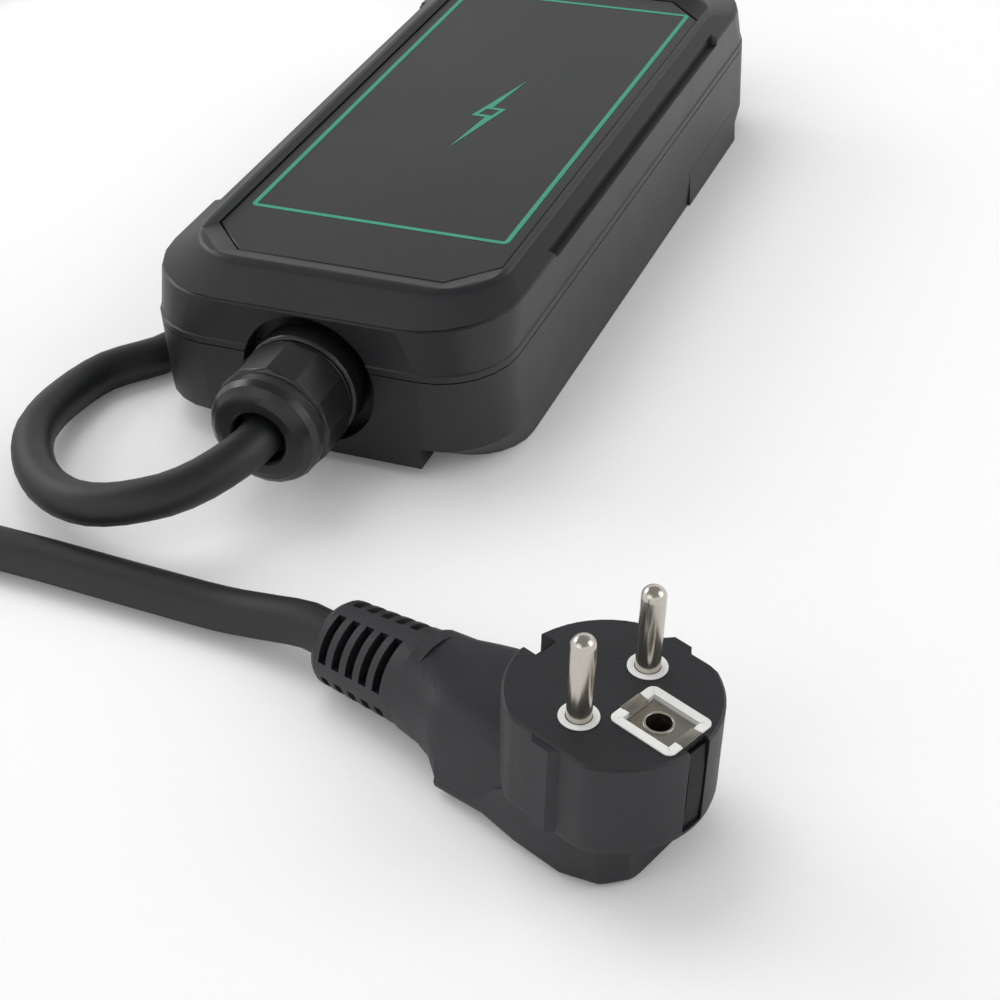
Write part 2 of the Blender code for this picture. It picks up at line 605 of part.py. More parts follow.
def screw(name, finish, head, radius, head_height, length, place, up):
    """Pan-head screw with a cross recess. Its head's underside is at place."""
    bm = bmesh.new()
    rings = ((head * 0.82, -head_height), (head, -head_height * 0.55), (head, 0.0),
             (radius, 0.0), (radius, length - radius), (radius * 0.4, length))
    loft_into(bm, [[(x, y, z) for x, y in circle(r, 10)] for r, z in rings])
    thing = add_object(name, to_mesh(name, bm, 0.6), finish)
    thing.location = place
    if not up:
        thing.rotation_euler = (pi, 0, 0)
    return thing


def box_part(name, finish, size, place, bevel=0.0):
    """A box-shaped component that stands at place, its edges chamfered."""
    bm = bmesh.new()
    x, y, z = size[0] / 2, size[1] / 2, size[2]
    rings = ((0.0, bevel), (bevel, 0.0), (z - bevel, 0.0), (z, bevel)) if bevel else ((0, 0), (z, 0))
    loft_into(bm, [[(a, b, h) for a, b in cut_corners(x - e, y - e, bevel or 0.2 * MM)]
                   for h, e in rings])
    thing = add_object(name, to_mesh(name, bm), finish)
    thing.location = place
    return thing


def main_board(finish):
    """Circuit board with its four screw holes."""
    bm = bmesh.new()
    half = (BOARD_WIDTH / 2, BOARD_LENGTH / 2)
    prism_into(bm, cut_corners(half[0], half[1], 2 * MM), BOARD_HEIGHT, BOARD_TOP)
    board = add_object("main_board", to_mesh("main_board", bm), finish)
    holes = bmesh.new()
    for x in (-BOARD_POST_X, BOARD_POST_X):
        for y in (-BOARD_POST_Y, BOARD_POST_Y):
            prism_into(holes, circle(SMALL_SCREW_RADIUS + GAP, 8), 0.0, 2 * BOARD_TOP,
                       Matrix.Translation((x, y, 0)))
    combine(board, guide("guide_board_holes", holes), "DIFFERENCE")
    return board


def cylinder_part(name, finish, radius, height, place, edge, turn=None):
    """A turned component with small end chamfers."""
    bm = bmesh.new()
    rings = ((radius - edge, 0.0), (radius, edge), (radius, height - edge), (radius - edge, height))
    loft_into(bm, [[(x, y, z) for x, y in circle(r, 16)] for r, z in rings], turn)
    thing = add_object(name, to_mesh(name, bm, 0.6), finish)
    thing.location = place
    return thing


def residual_current_coil(finish):
    """Ring core that the live and neutral conductors pass through."""
    bm = bmesh.new()
    e = 1.2 * MM
    profile = [(COIL_BORE, e), (COIL_BORE + e, 0.0), (COIL_RADIUS - e, 0.0), (COIL_RADIUS, e),
               (COIL_RADIUS, COIL_LENGTH - e), (COIL_RADIUS - e, COIL_LENGTH),
               (COIL_BORE + e, COIL_LENGTH), (COIL_BORE, COIL_LENGTH - e)]
    place = Matrix.Translation((0, COIL_Y, BOARD_TOP + GAP + COIL_RADIUS))
    lathe_into(bm, profile, count=20, matrix=place @ Matrix.Rotation(-pi / 2, 4, "X"))
    return add_object("residual_current_coil", to_mesh("residual_current_coil", bm, 0.7), finish)


def terminal(name, finish, index):
    """Three-way terminal block with wire entries at its outer face."""
    x0, y0 = TERMINAL_X[index], TERMINAL_Y[index]
    block = box_part(name, finish, TERMINAL_SIZE, (x0, y0, BOARD_TOP + GAP), 0.5 * MM)
    sign = -1 if index == 0 else 1
    bm = bmesh.new()
    for k in (-1, 0, 1):
        at = Matrix.Translation((k * TERMINAL_SIZE[0] / 3, 0, TERMINAL_SIZE[2] * 0.45))
        turn = Matrix.Rotation(-sign * pi / 2, 4, "X")
        prism_into(bm, circle(WIRE_HOLE, 12), 0.0, TERMINAL_SIZE[1], at @ turn)
    tool = guide("guide_" + name, bm)
    tool.location = block.location
    combine(block, tool, "DIFFERENCE")
    return block


def indicator_board(finish):
    """Small board under the panel that carries the lights."""
    bm = bmesh.new()
    prism_into(bm, cut_corners(INDICATOR_WIDTH / 2, INDICATOR_LENGTH / 2, 1.5 * MM),
               INDICATOR_Z, INDICATOR_TOP, Matrix.Translation((LIGHT_X, LIGHT_Y, 0)))
    board = add_object("indicator_board", to_mesh("indicator_board", bm), finish)
    holes = bmesh.new()
    for sign in (-1, 1):
        prism_into(holes, circle(SMALL_SCREW_RADIUS + GAP, 8), 0.0, 2 * INDICATOR_TOP,
                   Matrix.Translation((LIGHT_X, LIGHT_Y + sign * INDICATOR_POST_PITCH / 2, 0)))
    combine(board, guide("guide_indicator_holes", holes), "DIFFERENCE")
    return board


def light_guide(finish):
    """Clear bar in the cover's slot, with a flange under it."""
    bm = bmesh.new()
    half = (LIGHT_WIDTH / 2 - GAP, LIGHT_LENGTH / 2 - GAP)
    wide = (LIGHT_WIDTH / 2 + LIGHT_FLANGE, LIGHT_LENGTH / 2 + LIGHT_FLANGE)
    flange_top = LIGHT_BASE + LIGHT_FLANGE_THICKNESS
    rings = [(wide, LIGHT_BASE), (wide, flange_top), (half, flange_top), (half, RECESS_Z)]
    loft_into(bm, [[(LIGHT_X + sx * h[0], LIGHT_Y + sy * h[1], z)
                    for sx, sy in ((-1, -1), (1, -1), (1, 1), (-1, 1))] for h, z in rings])
    return add_object("light_guide", to_mesh("light_guide", bm), finish)


def ribbon_cable(finish):
    """Flat cable from the main board up to the indicator board."""
    bm = bmesh.new()
    edge_x = LIGHT_X + INDICATOR_WIDTH / 2 - 3 * MM
    t = RIBBON_THICKNESS
    path = ((RIBBON_X, BOARD_TOP + GAP), (RIBBON_X, INDICATOR_Z - GAP - 3 * t),
            (RIBBON_X - 3 * t, INDICATOR_Z - GAP - t / 2), (edge_x, INDICATOR_Z - GAP - t / 2))
    normals = ((1, 0), (1, 0.4), (0.4, 1), (0, 1))
    rows = []
    for (x, z), (nx, nz) in zip(path, normals):
        s = t / 2
        rows.append([(x + nx * s, RIBBON_Y, z + nz * s),
                     (x + nx * s, RIBBON_Y + RIBBON_WIDTH, z + nz * s),
                     (x - nx * s, RIBBON_Y + RIBBON_WIDTH, z - nz * s),
                     (x - nx * s, RIBBON_Y, z - nz * s)])
    loft_into(bm, rows)
    return add_object("ribbon_cable", to_mesh("ribbon_cable", bm), finish)


def hexagon(flat, count):
    """Radius factor that turns a round ring of unit radius into a hexagon."""
    def shape(i):
        a = (2 * pi * i / count) % (pi / 3) - pi / 6
        return flat / 2 / cos(a)
    return shape


def gland_body(name, sign, finish):
    """Hollow body: threaded tail, hexagon, collar, and the thread under the dome nut."""
    hexed = hexagon(GLAND_HEX, 24)
    tail = -(POCKET_FLOOR + GAP + LOCKNUT_LENGTH + 2.5 * MM)
    groove = COLLAR_END - COLLAR_GROOVE
    hex_end = GAP + GLAND_HEX_LENGTH
    thread_end = COLLAR_END + THREAD_LENGTH
    profile = [
        (GLAND_THREAD, tail), (GLAND_THREAD, GAP), (1.0, GAP), (1.0, hex_end),
        (COLLAR_RADIUS, hex_end), (COLLAR_RADIUS, groove - 0.6 * MM),
        (COLLAR_RADIUS - 0.6 * MM, groove), (COLLAR_RADIUS - COLLAR_GROOVE, groove),
        (COLLAR_RADIUS - COLLAR_GROOVE, COLLAR_END), (GLAND_THREAD, COLLAR_END),
        (GLAND_THREAD, thread_end), (SEAL_OUTER + GAP, thread_end),
        (SEAL_OUTER + GAP, SEAL_START - GAP), (GLAND_BORE, SEAL_START - GAP), (GLAND_BORE, tail),
    ]
    bm = bmesh.new()
    lathe_into(bm, profile, lambda i, k: hexed(i) if k in (2, 3) else 1.0, 24,
               along_y(sign, POCKET_BASE))
    return add_object(name, to_mesh(name, bm, 0.5), finish)


def gland_nut(name, sign, finish):
    """Dome nut: flats round the skirt, a groove, and the rounded ring round the mouth."""
    def flats(i, k):
        if k not in (1, 2):
            return 1.0
        step = 2 * pi / NUT_FACETS
        a = (2 * pi * i / (2 * NUT_FACETS)) % step - step / 2
        return cos(step / 2) / cos(a) * 1.012
    bore = GLAND_THREAD + GAP
    inner_end = COLLAR_END + THREAD_LENGTH + 1.0 * MM
    profile = [
        (NUT_RADIUS - 0.6 * MM, NUT_START), (NUT_RADIUS, NUT_START + 0.6 * MM),
        (NUT_RADIUS, NUT_END - NUT_GROOVE - 0.4 * MM), (NUT_RADIUS - 0.5 * MM, NUT_END - NUT_GROOVE),
        (DOME_RADIUS - NUT_GROOVE, NUT_END - NUT_GROOVE / 2), (DOME_RADIUS - NUT_GROOVE, NUT_END),
        (DOME_RADIUS, NUT_END + 0.5 * MM), (DOME_RADIUS, NUT_END + DOME_LENGTH * 0.45),
        (DOME_RADIUS - 0.8 * MM, NUT_END + DOME_LENGTH * 0.72),
        (DOME_RADIUS - 2.4 * MM, NUT_END + DOME_LENGTH * 0.92),
        (DOME_RADIUS - 4.2 * MM, MOUTH), (DOME_MOUTH + 0.5 * MM, MOUTH),
        (DOME_MOUTH, MOUTH - 0.6 * MM), (DOME_MOUTH, MOUTH - 2.6 * MM),
        (bore, inner_end), (bore, NUT_START),
    ]
    bm = bmesh.new()
    lathe_into(bm, profile, flats, 2 * NUT_FACETS, along_y(sign, POCKET_BASE))
    return add_object(name, to_mesh(name, bm, 0.5), finish)


def gland_seal(name, sign, finish):
    """Rubber sleeve that grips the cord inside the body."""
    end = COLLAR_END + THREAD_LENGTH + SEAL_NOSE
    profile = [(SEAL_BORE, SEAL_START), (SEAL_OUTER, SEAL_START),
               (SEAL_OUTER, end - SEAL_NOSE), (SEAL_OUTER - 1.2 * MM, end), (SEAL_BORE, end)]
    bm = bmesh.new()
    lathe_into(bm, profile, count=18, matrix=along_y(sign, POCKET_BASE))
    return add_object(name, to_mesh(name, bm, 0.5), finish)


def gland_locknut(name, sign, finish):
    """Hexagon nut on the gland's tail, inside the box."""
    start = -(POCKET_FLOOR + GAP)
    hexed = hexagon(LOCKNUT_HEX, 24)
    profile = [(1.0, start - LOCKNUT_LENGTH), (1.0, start),
               (GLAND_THREAD + GAP, start), (GLAND_THREAD + GAP, start - LOCKNUT_LENGTH)]
    bm = bmesh.new()
    lathe_into(bm, profile, lambda i, k: hexed(i) if k in (0, 1) else 1.0, 24,
               along_y(sign, POCKET_BASE))
    return add_object(name, to_mesh(name, bm, 0.5), finish)


def tube(name, finish, points, diameter, sides):
    """Round tube along points, with closed ends."""
    curve = bpy.data.curves.new(name, "CURVE")
    curve.dimensions = "3D"
    curve.bevel_depth = diameter / 2
    curve.bevel_resolution = sides
    curve.use_fill_caps = True
    spline = curve.splines.new("POLY")
    spline.points.add(len(points) - 1)
    for slot, point in zip(spline.points, points):
        slot.co = (*point, 1.0)
    curve.materials.append(finish)
    thing = bpy.data.objects.new(name, curve)
    bpy.context.scene.collection.objects.link(thing)
    return thing


def smooth_points(knots, spacing):
    """Even points on one smooth curve through the knots."""
    knots = [Vector(k) for k in knots]
    fine = []
    for i in range(len(knots) - 1):
        a, b = knots[i], knots[i + 1]
        before = knots[max(i - 1, 0)]
        after = knots[min(i + 2, len(knots) - 1)]
        reach = (b - a).length / 3
        first = a + (b - before).normalized() * reach
        second = b - (after - a).normalized() * reach
        fine += interpolate_bezier(a, first, second, b, 24)[:-1]
    fine.append(knots[-1])
    lengths = [0.0]
    for a, b in zip(fine, fine[1:]):
        lengths.append(lengths[-1] + (b - a).length)
    count = round(lengths[-1] / spacing)
    points, k = [], 0
    for i in range(count + 1):
        want = lengths[-1] * i / count
        while k < len(lengths) - 2 and lengths[k + 1] < want:
            k += 1
        share = (want - lengths[k]) / max(lengths[k + 1] - lengths[k], 1e-9)
        points.append(fine[k].lerp(fine[k + 1], min(max(share, 0), 1)))
    return points


def cord_route():
    """The lead's centre line: inside the gland, the route, and square onto the relief."""
    start = POCKET_BASE - CORD_START
    inside = [(0, -start, GLAND_HEIGHT), (0, -(start + HALF_Y + 25 * MM) / 2, GLAND_HEIGHT)]
    end = place_plug() @ Vector((0, RELIEF_END + GAP + 0.7 * MM, RELIEF_AXIS))
    near = place_plug() @ Vector((0, RELIEF_END + GAP + 8 * MM, RELIEF_AXIS - 0.3 * MM))
    return inside + [tuple(c * MM for c in p) for p in ROUTE] + [near, end]


def mains_cord(finish):
    points = smooth_points(cord_route(), ROUTE_SHARE * CORD_DIAMETER / 2)
    return tube("mains_cord", finish, points, CORD_DIAMETER, 2)


def conductor(name, finish, index):
    """Insulated conductor from the cord's end to its terminal, through the ring core."""
    a = pi / 2 + index * 2 * pi / 3
    start = POCKET_BASE - CORD_START - GAP
    side = (0, -1, 1)[index]
    x, z = CONDUCTOR_PITCH * cos(a), CONDUCTOR_PITCH * sin(a)
    hole_z = BOARD_TOP + GAP + TERMINAL_SIZE[2] * 0.45
    end_x = TERMINAL_X[0] + side * TERMINAL_SIZE[0] / 3
    end_y = TERMINAL_Y[0] - TERMINAL_SIZE[1] / 2 + 2.5 * MM
    core_z = BOARD_TOP + GAP + COIL_RADIUS
    knots = [(x, -start, GLAND_HEIGHT + z), (x, -start + 14 * MM, GLAND_HEIGHT + z),
             (x, COIL_Y, core_z + z), (x * 1.2, COIL_Y + 10 * MM, core_z + z * 0.8),
             (end_x, end_y - 5 * MM, hole_z), (end_x, end_y, hole_z)]
    return tube(name, finish, smooth_points(knots, 4.5 * MM), CONDUCTOR_DIAMETER, 1)


def grip_ring(y, half, low, high, power, count=24):
    """One squared oval section of the grip, narrower at its top."""
    ring = []
    for i in range(count):
        a = 2 * pi * i / count
        c, s = cos(a), sin(a)
        x = half * (abs(c) ** (2 / power)) * (1 if c > 0 else -1)
        v = (abs(s) ** (2 / power)) * (1 if s > 0 else -1)
        lean = 1 - GRIP_LEAN * v if 3 < power < 6 else 1
        ring.append((x * lean, y, (high + low) / 2 + (high - low) / 2 * v))
    return ring


def face_outline():
    """Round face with a flat at each end of the pin line."""
    points = []
    for i in range(56):
        a = 2 * pi * (i + 0.5) / 56
        x = max(-FLAT_HALF, min(FLAT_HALF, FACE_RADIUS * cos(a)))
        points.append((x, FACE_RADIUS * sin(a)))
    return points


def relief_into(bm):
    """Slotted strain relief, drawn as a grid of cells that are either proud or sunk."""
    first = RELIEF_END - RELIEF_LEAD_IN - RELIEF_SLOT
    stations = [RELIEF_START]
    for row in reversed(range(RELIEF_ROWS)):
        low = first - row * RELIEF_PITCH
        stations += [low, low + RELIEF_SLOT]
    stations.append(RELIEF_END - 2.4 * MM)
    quarter = RELIEF_SIDES // 4
    half_rib = RELIEF_RIB_SIDES // 2

    def sunk(column, row):
        at = (column + half_rib) % quarter
        return 0 < row < 2 * RELIEF_ROWS and row % 2 == 1 and at >= RELIEF_RIB_SIDES

    def share(y):
        return (y - RELIEF_START) / (RELIEF_END - RELIEF_START)

    def taper(y):
        return 1.06 - RELIEF_TAPER * share(y)

    def axis(y):
        return RELIEF_AXIS + RELIEF_DROP * (1 - share(y))

    def vertex(i, row, radius):
        a = 2 * pi * i / RELIEF_SIDES
        key = (i % RELIEF_SIDES, row, radius)
        if key not in made:
            r = radius * taper(stations[row])
            made[key] = bm.verts.new((r * cos(a), stations[row], axis(stations[row]) + r * sin(a)))
        return made[key]

    made = {}
    rows = len(stations) - 1
    for i in range(RELIEF_SIDES):
        for row in range(rows):
            r = RELIEF_CORE if sunk(i, row) else RELIEF_RADIUS
            bm.faces.new((vertex(i, row, r), vertex(i, row + 1, r),
                          vertex(i + 1, row + 1, r), vertex(i + 1, row, r)))
            if row and sunk(i, row) != sunk(i, row - 1):
                bm.faces.new((vertex(i, row, RELIEF_CORE), vertex(i + 1, row, RELIEF_CORE),
                              vertex(i + 1, row, RELIEF_RADIUS), vertex(i, row, RELIEF_RADIUS)))
            if sunk(i, row) != sunk(i - 1, row):
                bm.faces.new((vertex(i, row, RELIEF_CORE), vertex(i, row + 1, RELIEF_CORE),
                              vertex(i, row + 1, RELIEF_RADIUS), vertex(i, row, RELIEF_RADIUS)))
    rings = [[vertex(i, rows, RELIEF_RADIUS) for i in range(RELIEF_SIDES)]]
    end_radius = RELIEF_RADIUS * taper(RELIEF_END)
    for radius, back in ((end_radius - 0.7 * MM, 1.1 * MM), (end_radius - 2.2 * MM, 0.25 * MM),
                         (end_radius - 3.4 * MM, 0.0)):
        rings.append([bm.verts.new((radius * cos(2 * pi * i / RELIEF_SIDES), RELIEF_END - back,
                                    RELIEF_AXIS + radius * sin(2 * pi * i / RELIEF_SIDES)))
                      for i in range(RELIEF_SIDES)])
    for low, high in zip(rings, rings[1:]):
        for i in range(RELIEF_SIDES):
            j = (i + 1) % RELIEF_SIDES
            bm.faces.new((low[i], high[i], high[j], low[j]))
    bm.faces.new(rings[-1])
    bm.faces.new([vertex(i, 0, RELIEF_RADIUS) for i in range(RELIEF_SIDES)])


def plug_body(finish):
    """Overmoulded plug: face disc with flats, tabs and earth slots, grip, heel and relief."""
    bm = bmesh.new()
    low = FACE_HEIGHT - DISC_DEPTH
    edge = 0.5 * MM
    face = face_outline()
    loft_into(bm, [[(x * k, y * k, z) for x, y in face] for k, z in
                   ((0.93, low - 1.2 * MM), (0.985, low), (1.0, low + 1.5 * MM),
                    (1.0, FACE_HEIGHT - edge), (1.0 - edge / FACE_RADIUS, FACE_HEIGHT))])
    body = add_object("plug_body", to_mesh("plug_body", bm, 0.6), finish)

    tools = bmesh.new()
    loft_into(tools, [grip_ring(*section) for section in GRIP])
    combine(body, plug_guide("guide_grip", tools, place_plug), "UNION")
    heel = bmesh.new()
    loft_into(heel, [grip_ring(33.0 * MM, HEEL_HALF * 0.84, 0.0, low - 6 * MM, 3.0),
                     grip_ring(20.0 * MM, HEEL_HALF * 0.90, 0.0, low - 2 * MM, 3.0),
                     grip_ring(12 * MM, HEEL_HALF * 0.96, 0.0, low + 4 * MM, 7.0),
                     grip_ring(0.0, HEEL_HALF, 0.0, low + 4 * MM, 11.0),
                     grip_ring(HEEL_FRONT + 4 * MM, HEEL_HALF * 0.9, 0.0, low + 4 * MM, 9.0),
                     grip_ring(HEEL_FRONT, HEEL_HALF * 0.66, 0.3 * MM, low + 4 * MM, 7.0)])
    combine(body, plug_guide("guide_heel", heel, place_plug), "UNION")
    tabs = bmesh.new()
    for sign in (-1, 1):
        x0, x1 = sign * (FLAT_HALF - 1 * MM), sign * (FLAT_HALF + TAB_REACH)
        wide, slim = TAB_WIDTH / 2, TAB_WIDTH / 2 - 1.2 * MM
        outline = [(x0, -wide), (sign * FLAT_HALF, -wide), (x1, -slim), (x1, slim),
                   (sign * FLAT_HALF, wide), (x0, wide)]
        prism_into(tabs, outline, low + 0.6 * MM, FACE_HEIGHT - 0.4 * MM)
    combine(body, plug_guide("guide_tabs", tabs), "UNION")
    relief = bmesh.new()
    relief_into(relief)
    combine(body, plug_guide("guide_relief", relief, place_plug), "UNION")

    cuts = bmesh.new()
    for sign, depth, bottom in ((-1, FRONT_SLOT_DEPTH, FRONT_SLOT_FLOOR),
                                (1, REAR_SLOT_DEPTH, REAR_SLOT_FLOOR)):
        ends = sorted((sign * (FACE_RADIUS - depth), sign * (FACE_RADIUS + 3 * MM)))
        box_into(cuts, (-SLOT_WIDTH / 2, ends[0], bottom),
                 (SLOT_WIDTH / 2, ends[1], FACE_HEIGHT + 2 * MM))
    combine(body, plug_guide("guide_earth_slots", cuts), "DIFFERENCE")
    nest = bmesh.new()
    carrier_plate_into(nest, GAP)
    combine(body, plug_guide("guide_carrier_nest", nest), "DIFFERENCE")
    mouth = bmesh.new()
    carrier_rise_into(mouth, GAP, FACE_HEIGHT + 5 * MM)
    combine(body, plug_guide("guide_carrier_mouth", mouth), "DIFFERENCE")
    holes = bmesh.new()
    root = FACE_HEIGHT - PIN_ROOT - GAP
    for sign in (-1, 1):
        prism_into(holes, circle(PIN_RADIUS + GAP, 16), root, FACE_HEIGHT - 1 * MM,
                   Matrix.Translation((sign * PIN_PITCH / 2, 0, 0)))
    prism_into(holes, circle(EARTH_HOLE + EARTH_SHEET + GAP, 16),
               FACE_HEIGHT - EARTH_SLEEVE - 3 * GAP, FACE_HEIGHT - 1 * MM,
               Matrix.Translation((0, -EARTH_OFFSET, 0)))
    combine(body, plug_guide("guide_pin_holes", holes), "DIFFERENCE")
    body.matrix_world = place_face()
    return body


def plug_guide(name, bm, place=place_face):
    """A guide that shares the place of the plug's face, or of its grip."""
    thing = guide(name, bm)
    thing.matrix_world = place()
    return thing


def carrier_plate_into(bm, grow=0.0):
    """The carrier's sunk plate, which joins its pin collars and its frame, widened by grow."""
    low = FACE_HEIGHT - CARRIER_DEPTH
    half = PIN_PITCH / 2 + COLLAR_WHITE + grow
    frame = FRAME_WIDTH / 2 + grow
    wide = COLLAR_WHITE + grow
    outline = [(-half, -wide), (-frame, -wide), (-frame, -FRAME_END - grow),
               (frame, -FRAME_END - grow), (frame, -wide), (half, -wide), (half, wide), (-half, wide)]
    prism_into(bm, outline, low - grow, low + CARRIER_PLATE + grow)


def carrier_rise_into(bm, grow, top):
    """The pin collars and the earth frame, which rise from the plate through the face."""
    base = FACE_HEIGHT - CARRIER_DEPTH + CARRIER_PLATE / 2
    for sign in (-1, 1):
        prism_into(bm, circle(COLLAR_WHITE + grow, 20), base, top,
                   Matrix.Translation((sign * PIN_PITCH / 2, 0, 0)))
    half = FRAME_WIDTH / 2 + grow
    box_into(bm, (-half, -FRAME_END - grow, base), (half, -FRAME_START + grow, top))


def contact_carrier(finish):
    """The white carrier as one piece, bored for the pins and open for the earth contact."""
    bm = bmesh.new()
    carrier_plate_into(bm)
    thing = add_object("contact_carrier", to_mesh("contact_carrier", bm), finish)
    top = FACE_HEIGHT + CARRIER_RISE
    base = FACE_HEIGHT - CARRIER_DEPTH + CARRIER_PLATE / 2
    rise = bmesh.new()
    carrier_rise_into(rise, 0.0, top)
    combine(thing, plug_guide("guide_carrier_rise", rise), "UNION")
    cut = bmesh.new()
    inner = FRAME_WIDTH / 2 - FRAME_BAR
    floor = FACE_HEIGHT - CARRIER_DEPTH + CARRIER_PLATE
    box_into(cut, (-inner, -FRAME_END + FRAME_BAR, floor), (inner, -FRAME_START - FRAME_BAR, top + MM))
    slot = EARTH_TONGUE_WIDTH / 2 + GAP
    box_into(cut, (-slot, -FRAME_END - MM, base - 5 * MM), (slot, -FRAME_END + FRAME_BAR / 2, top + 2 * MM))
    combine(thing, plug_guide("guide_carrier_window", cut), "DIFFERENCE")
    bores = bmesh.new()
    for sign in (-1, 1):
        prism_into(bores, circle(PIN_RADIUS + GAP, 16), base - 5 * MM, top + MM,
                   Matrix.Translation((sign * PIN_PITCH / 2, 0, 0)))
    prism_into(bores, circle(EARTH_HOLE + EARTH_SHEET + GAP, 16), base - 5 * MM, floor + MM / 2,
               Matrix.Translation((0, -EARTH_OFFSET, 0)))
    combine(thing, plug_guide("guide_carrier_bores", bores), "DIFFERENCE")
    thing.matrix_world = place_face()
    return thing


def contact_pin(name, sign, finish):
    """Round pin with a domed tip, rooted in the body."""
    bm = bmesh.new()
    tip = FACE_HEIGHT + PIN_LENGTH
    rings = [(PIN_RADIUS, FACE_HEIGHT - PIN_ROOT), (PIN_RADIUS, tip - PIN_RADIUS * 0.9)]
    for k in (1, 2, 3, 4):
        a = k * pi / 10
        rings.append((PIN_RADIUS * cos(a), tip - PIN_RADIUS * 0.9 * (1 - sin(a))))
    loft_into(bm, [[(x, y, z) for x, y in circle(r, 16)] for r, z in rings])
    thing = add_object(name, to_mesh(name, bm, 0.6), finish)
    thing.matrix_world = place_face() @ Matrix.Translation((sign * PIN_PITCH / 2, 0, 0))
    return thing


def earth_contact(finish):
    """Pressed earth contact: plate, sleeve for the socket's pin, and tongue in the slot."""
    bm = bmesh.new()
    floor = FACE_HEIGHT - CARRIER_DEPTH + CARRIER_PLATE + GAP
    top = floor + EARTH_SHEET
    half = FRAME_WIDTH / 2 - FRAME_BAR - GAP
    back, front = -FRAME_START - FRAME_BAR - GAP, -FRAME_END + FRAME_BAR + GAP
    prism_into(bm, [(-half, back), (-half, front), (half, front), (half, back)], floor, top)
    thing = add_object("earth_contact", to_mesh("earth_contact", bm, 0.6), finish)
    add = bmesh.new()
    prism_into(add, circle(EARTH_HOLE + EARTH_SHEET, 16), FACE_HEIGHT - EARTH_SLEEVE,
               floor + EARTH_SHEET / 2, Matrix.Translation((0, -EARTH_OFFSET, 0)))
    combine(thing, plug_guide("guide_earth_sleeve", add), "UNION")
    bore = bmesh.new()
    prism_into(bore, circle(EARTH_HOLE, 16), 0.0, 2 * FACE_HEIGHT,
               Matrix.Translation((0, -EARTH_OFFSET, 0)))
    combine(thing, plug_guide("guide_earth_bore", bore), "DIFFERENCE")
    thing.matrix_world = place_face()
    return thing


def earth_clip(name, sign, finish):
    """Bare bowed spring strip on the wall of one earth slot."""
    bm = bmesh.new()
    depth, bottom = ((REAR_SLOT_DEPTH, REAR_SLOT_FLOOR) if sign > 0
                     else (FRONT_SLOT_DEPTH, FRONT_SLOT_FLOOR))
    wall = FACE_RADIUS - depth + GAP
    half = EARTH_TONGUE_WIDTH / 2
    low, high = bottom + GAP, FACE_HEIGHT - CLIP_TOP
    rings = []
    for share, out in ((0.0, 0.0), (0.3, CLIP_BOW), (0.7, CLIP_BOW), (1.0, 0.0)):
        z = low + (high - low) * share
        near, far = sign * (wall + out), sign * (wall + out + CLIP_SHEET)
        rings.append([(-half, near, z), (half, near, z), (half, far, z), (-half, far, z)])
    loft_into(bm, rings)
    thing = add_object(name, to_mesh(name, bm), finish)
    thing.matrix_world = place_face()
    return thing


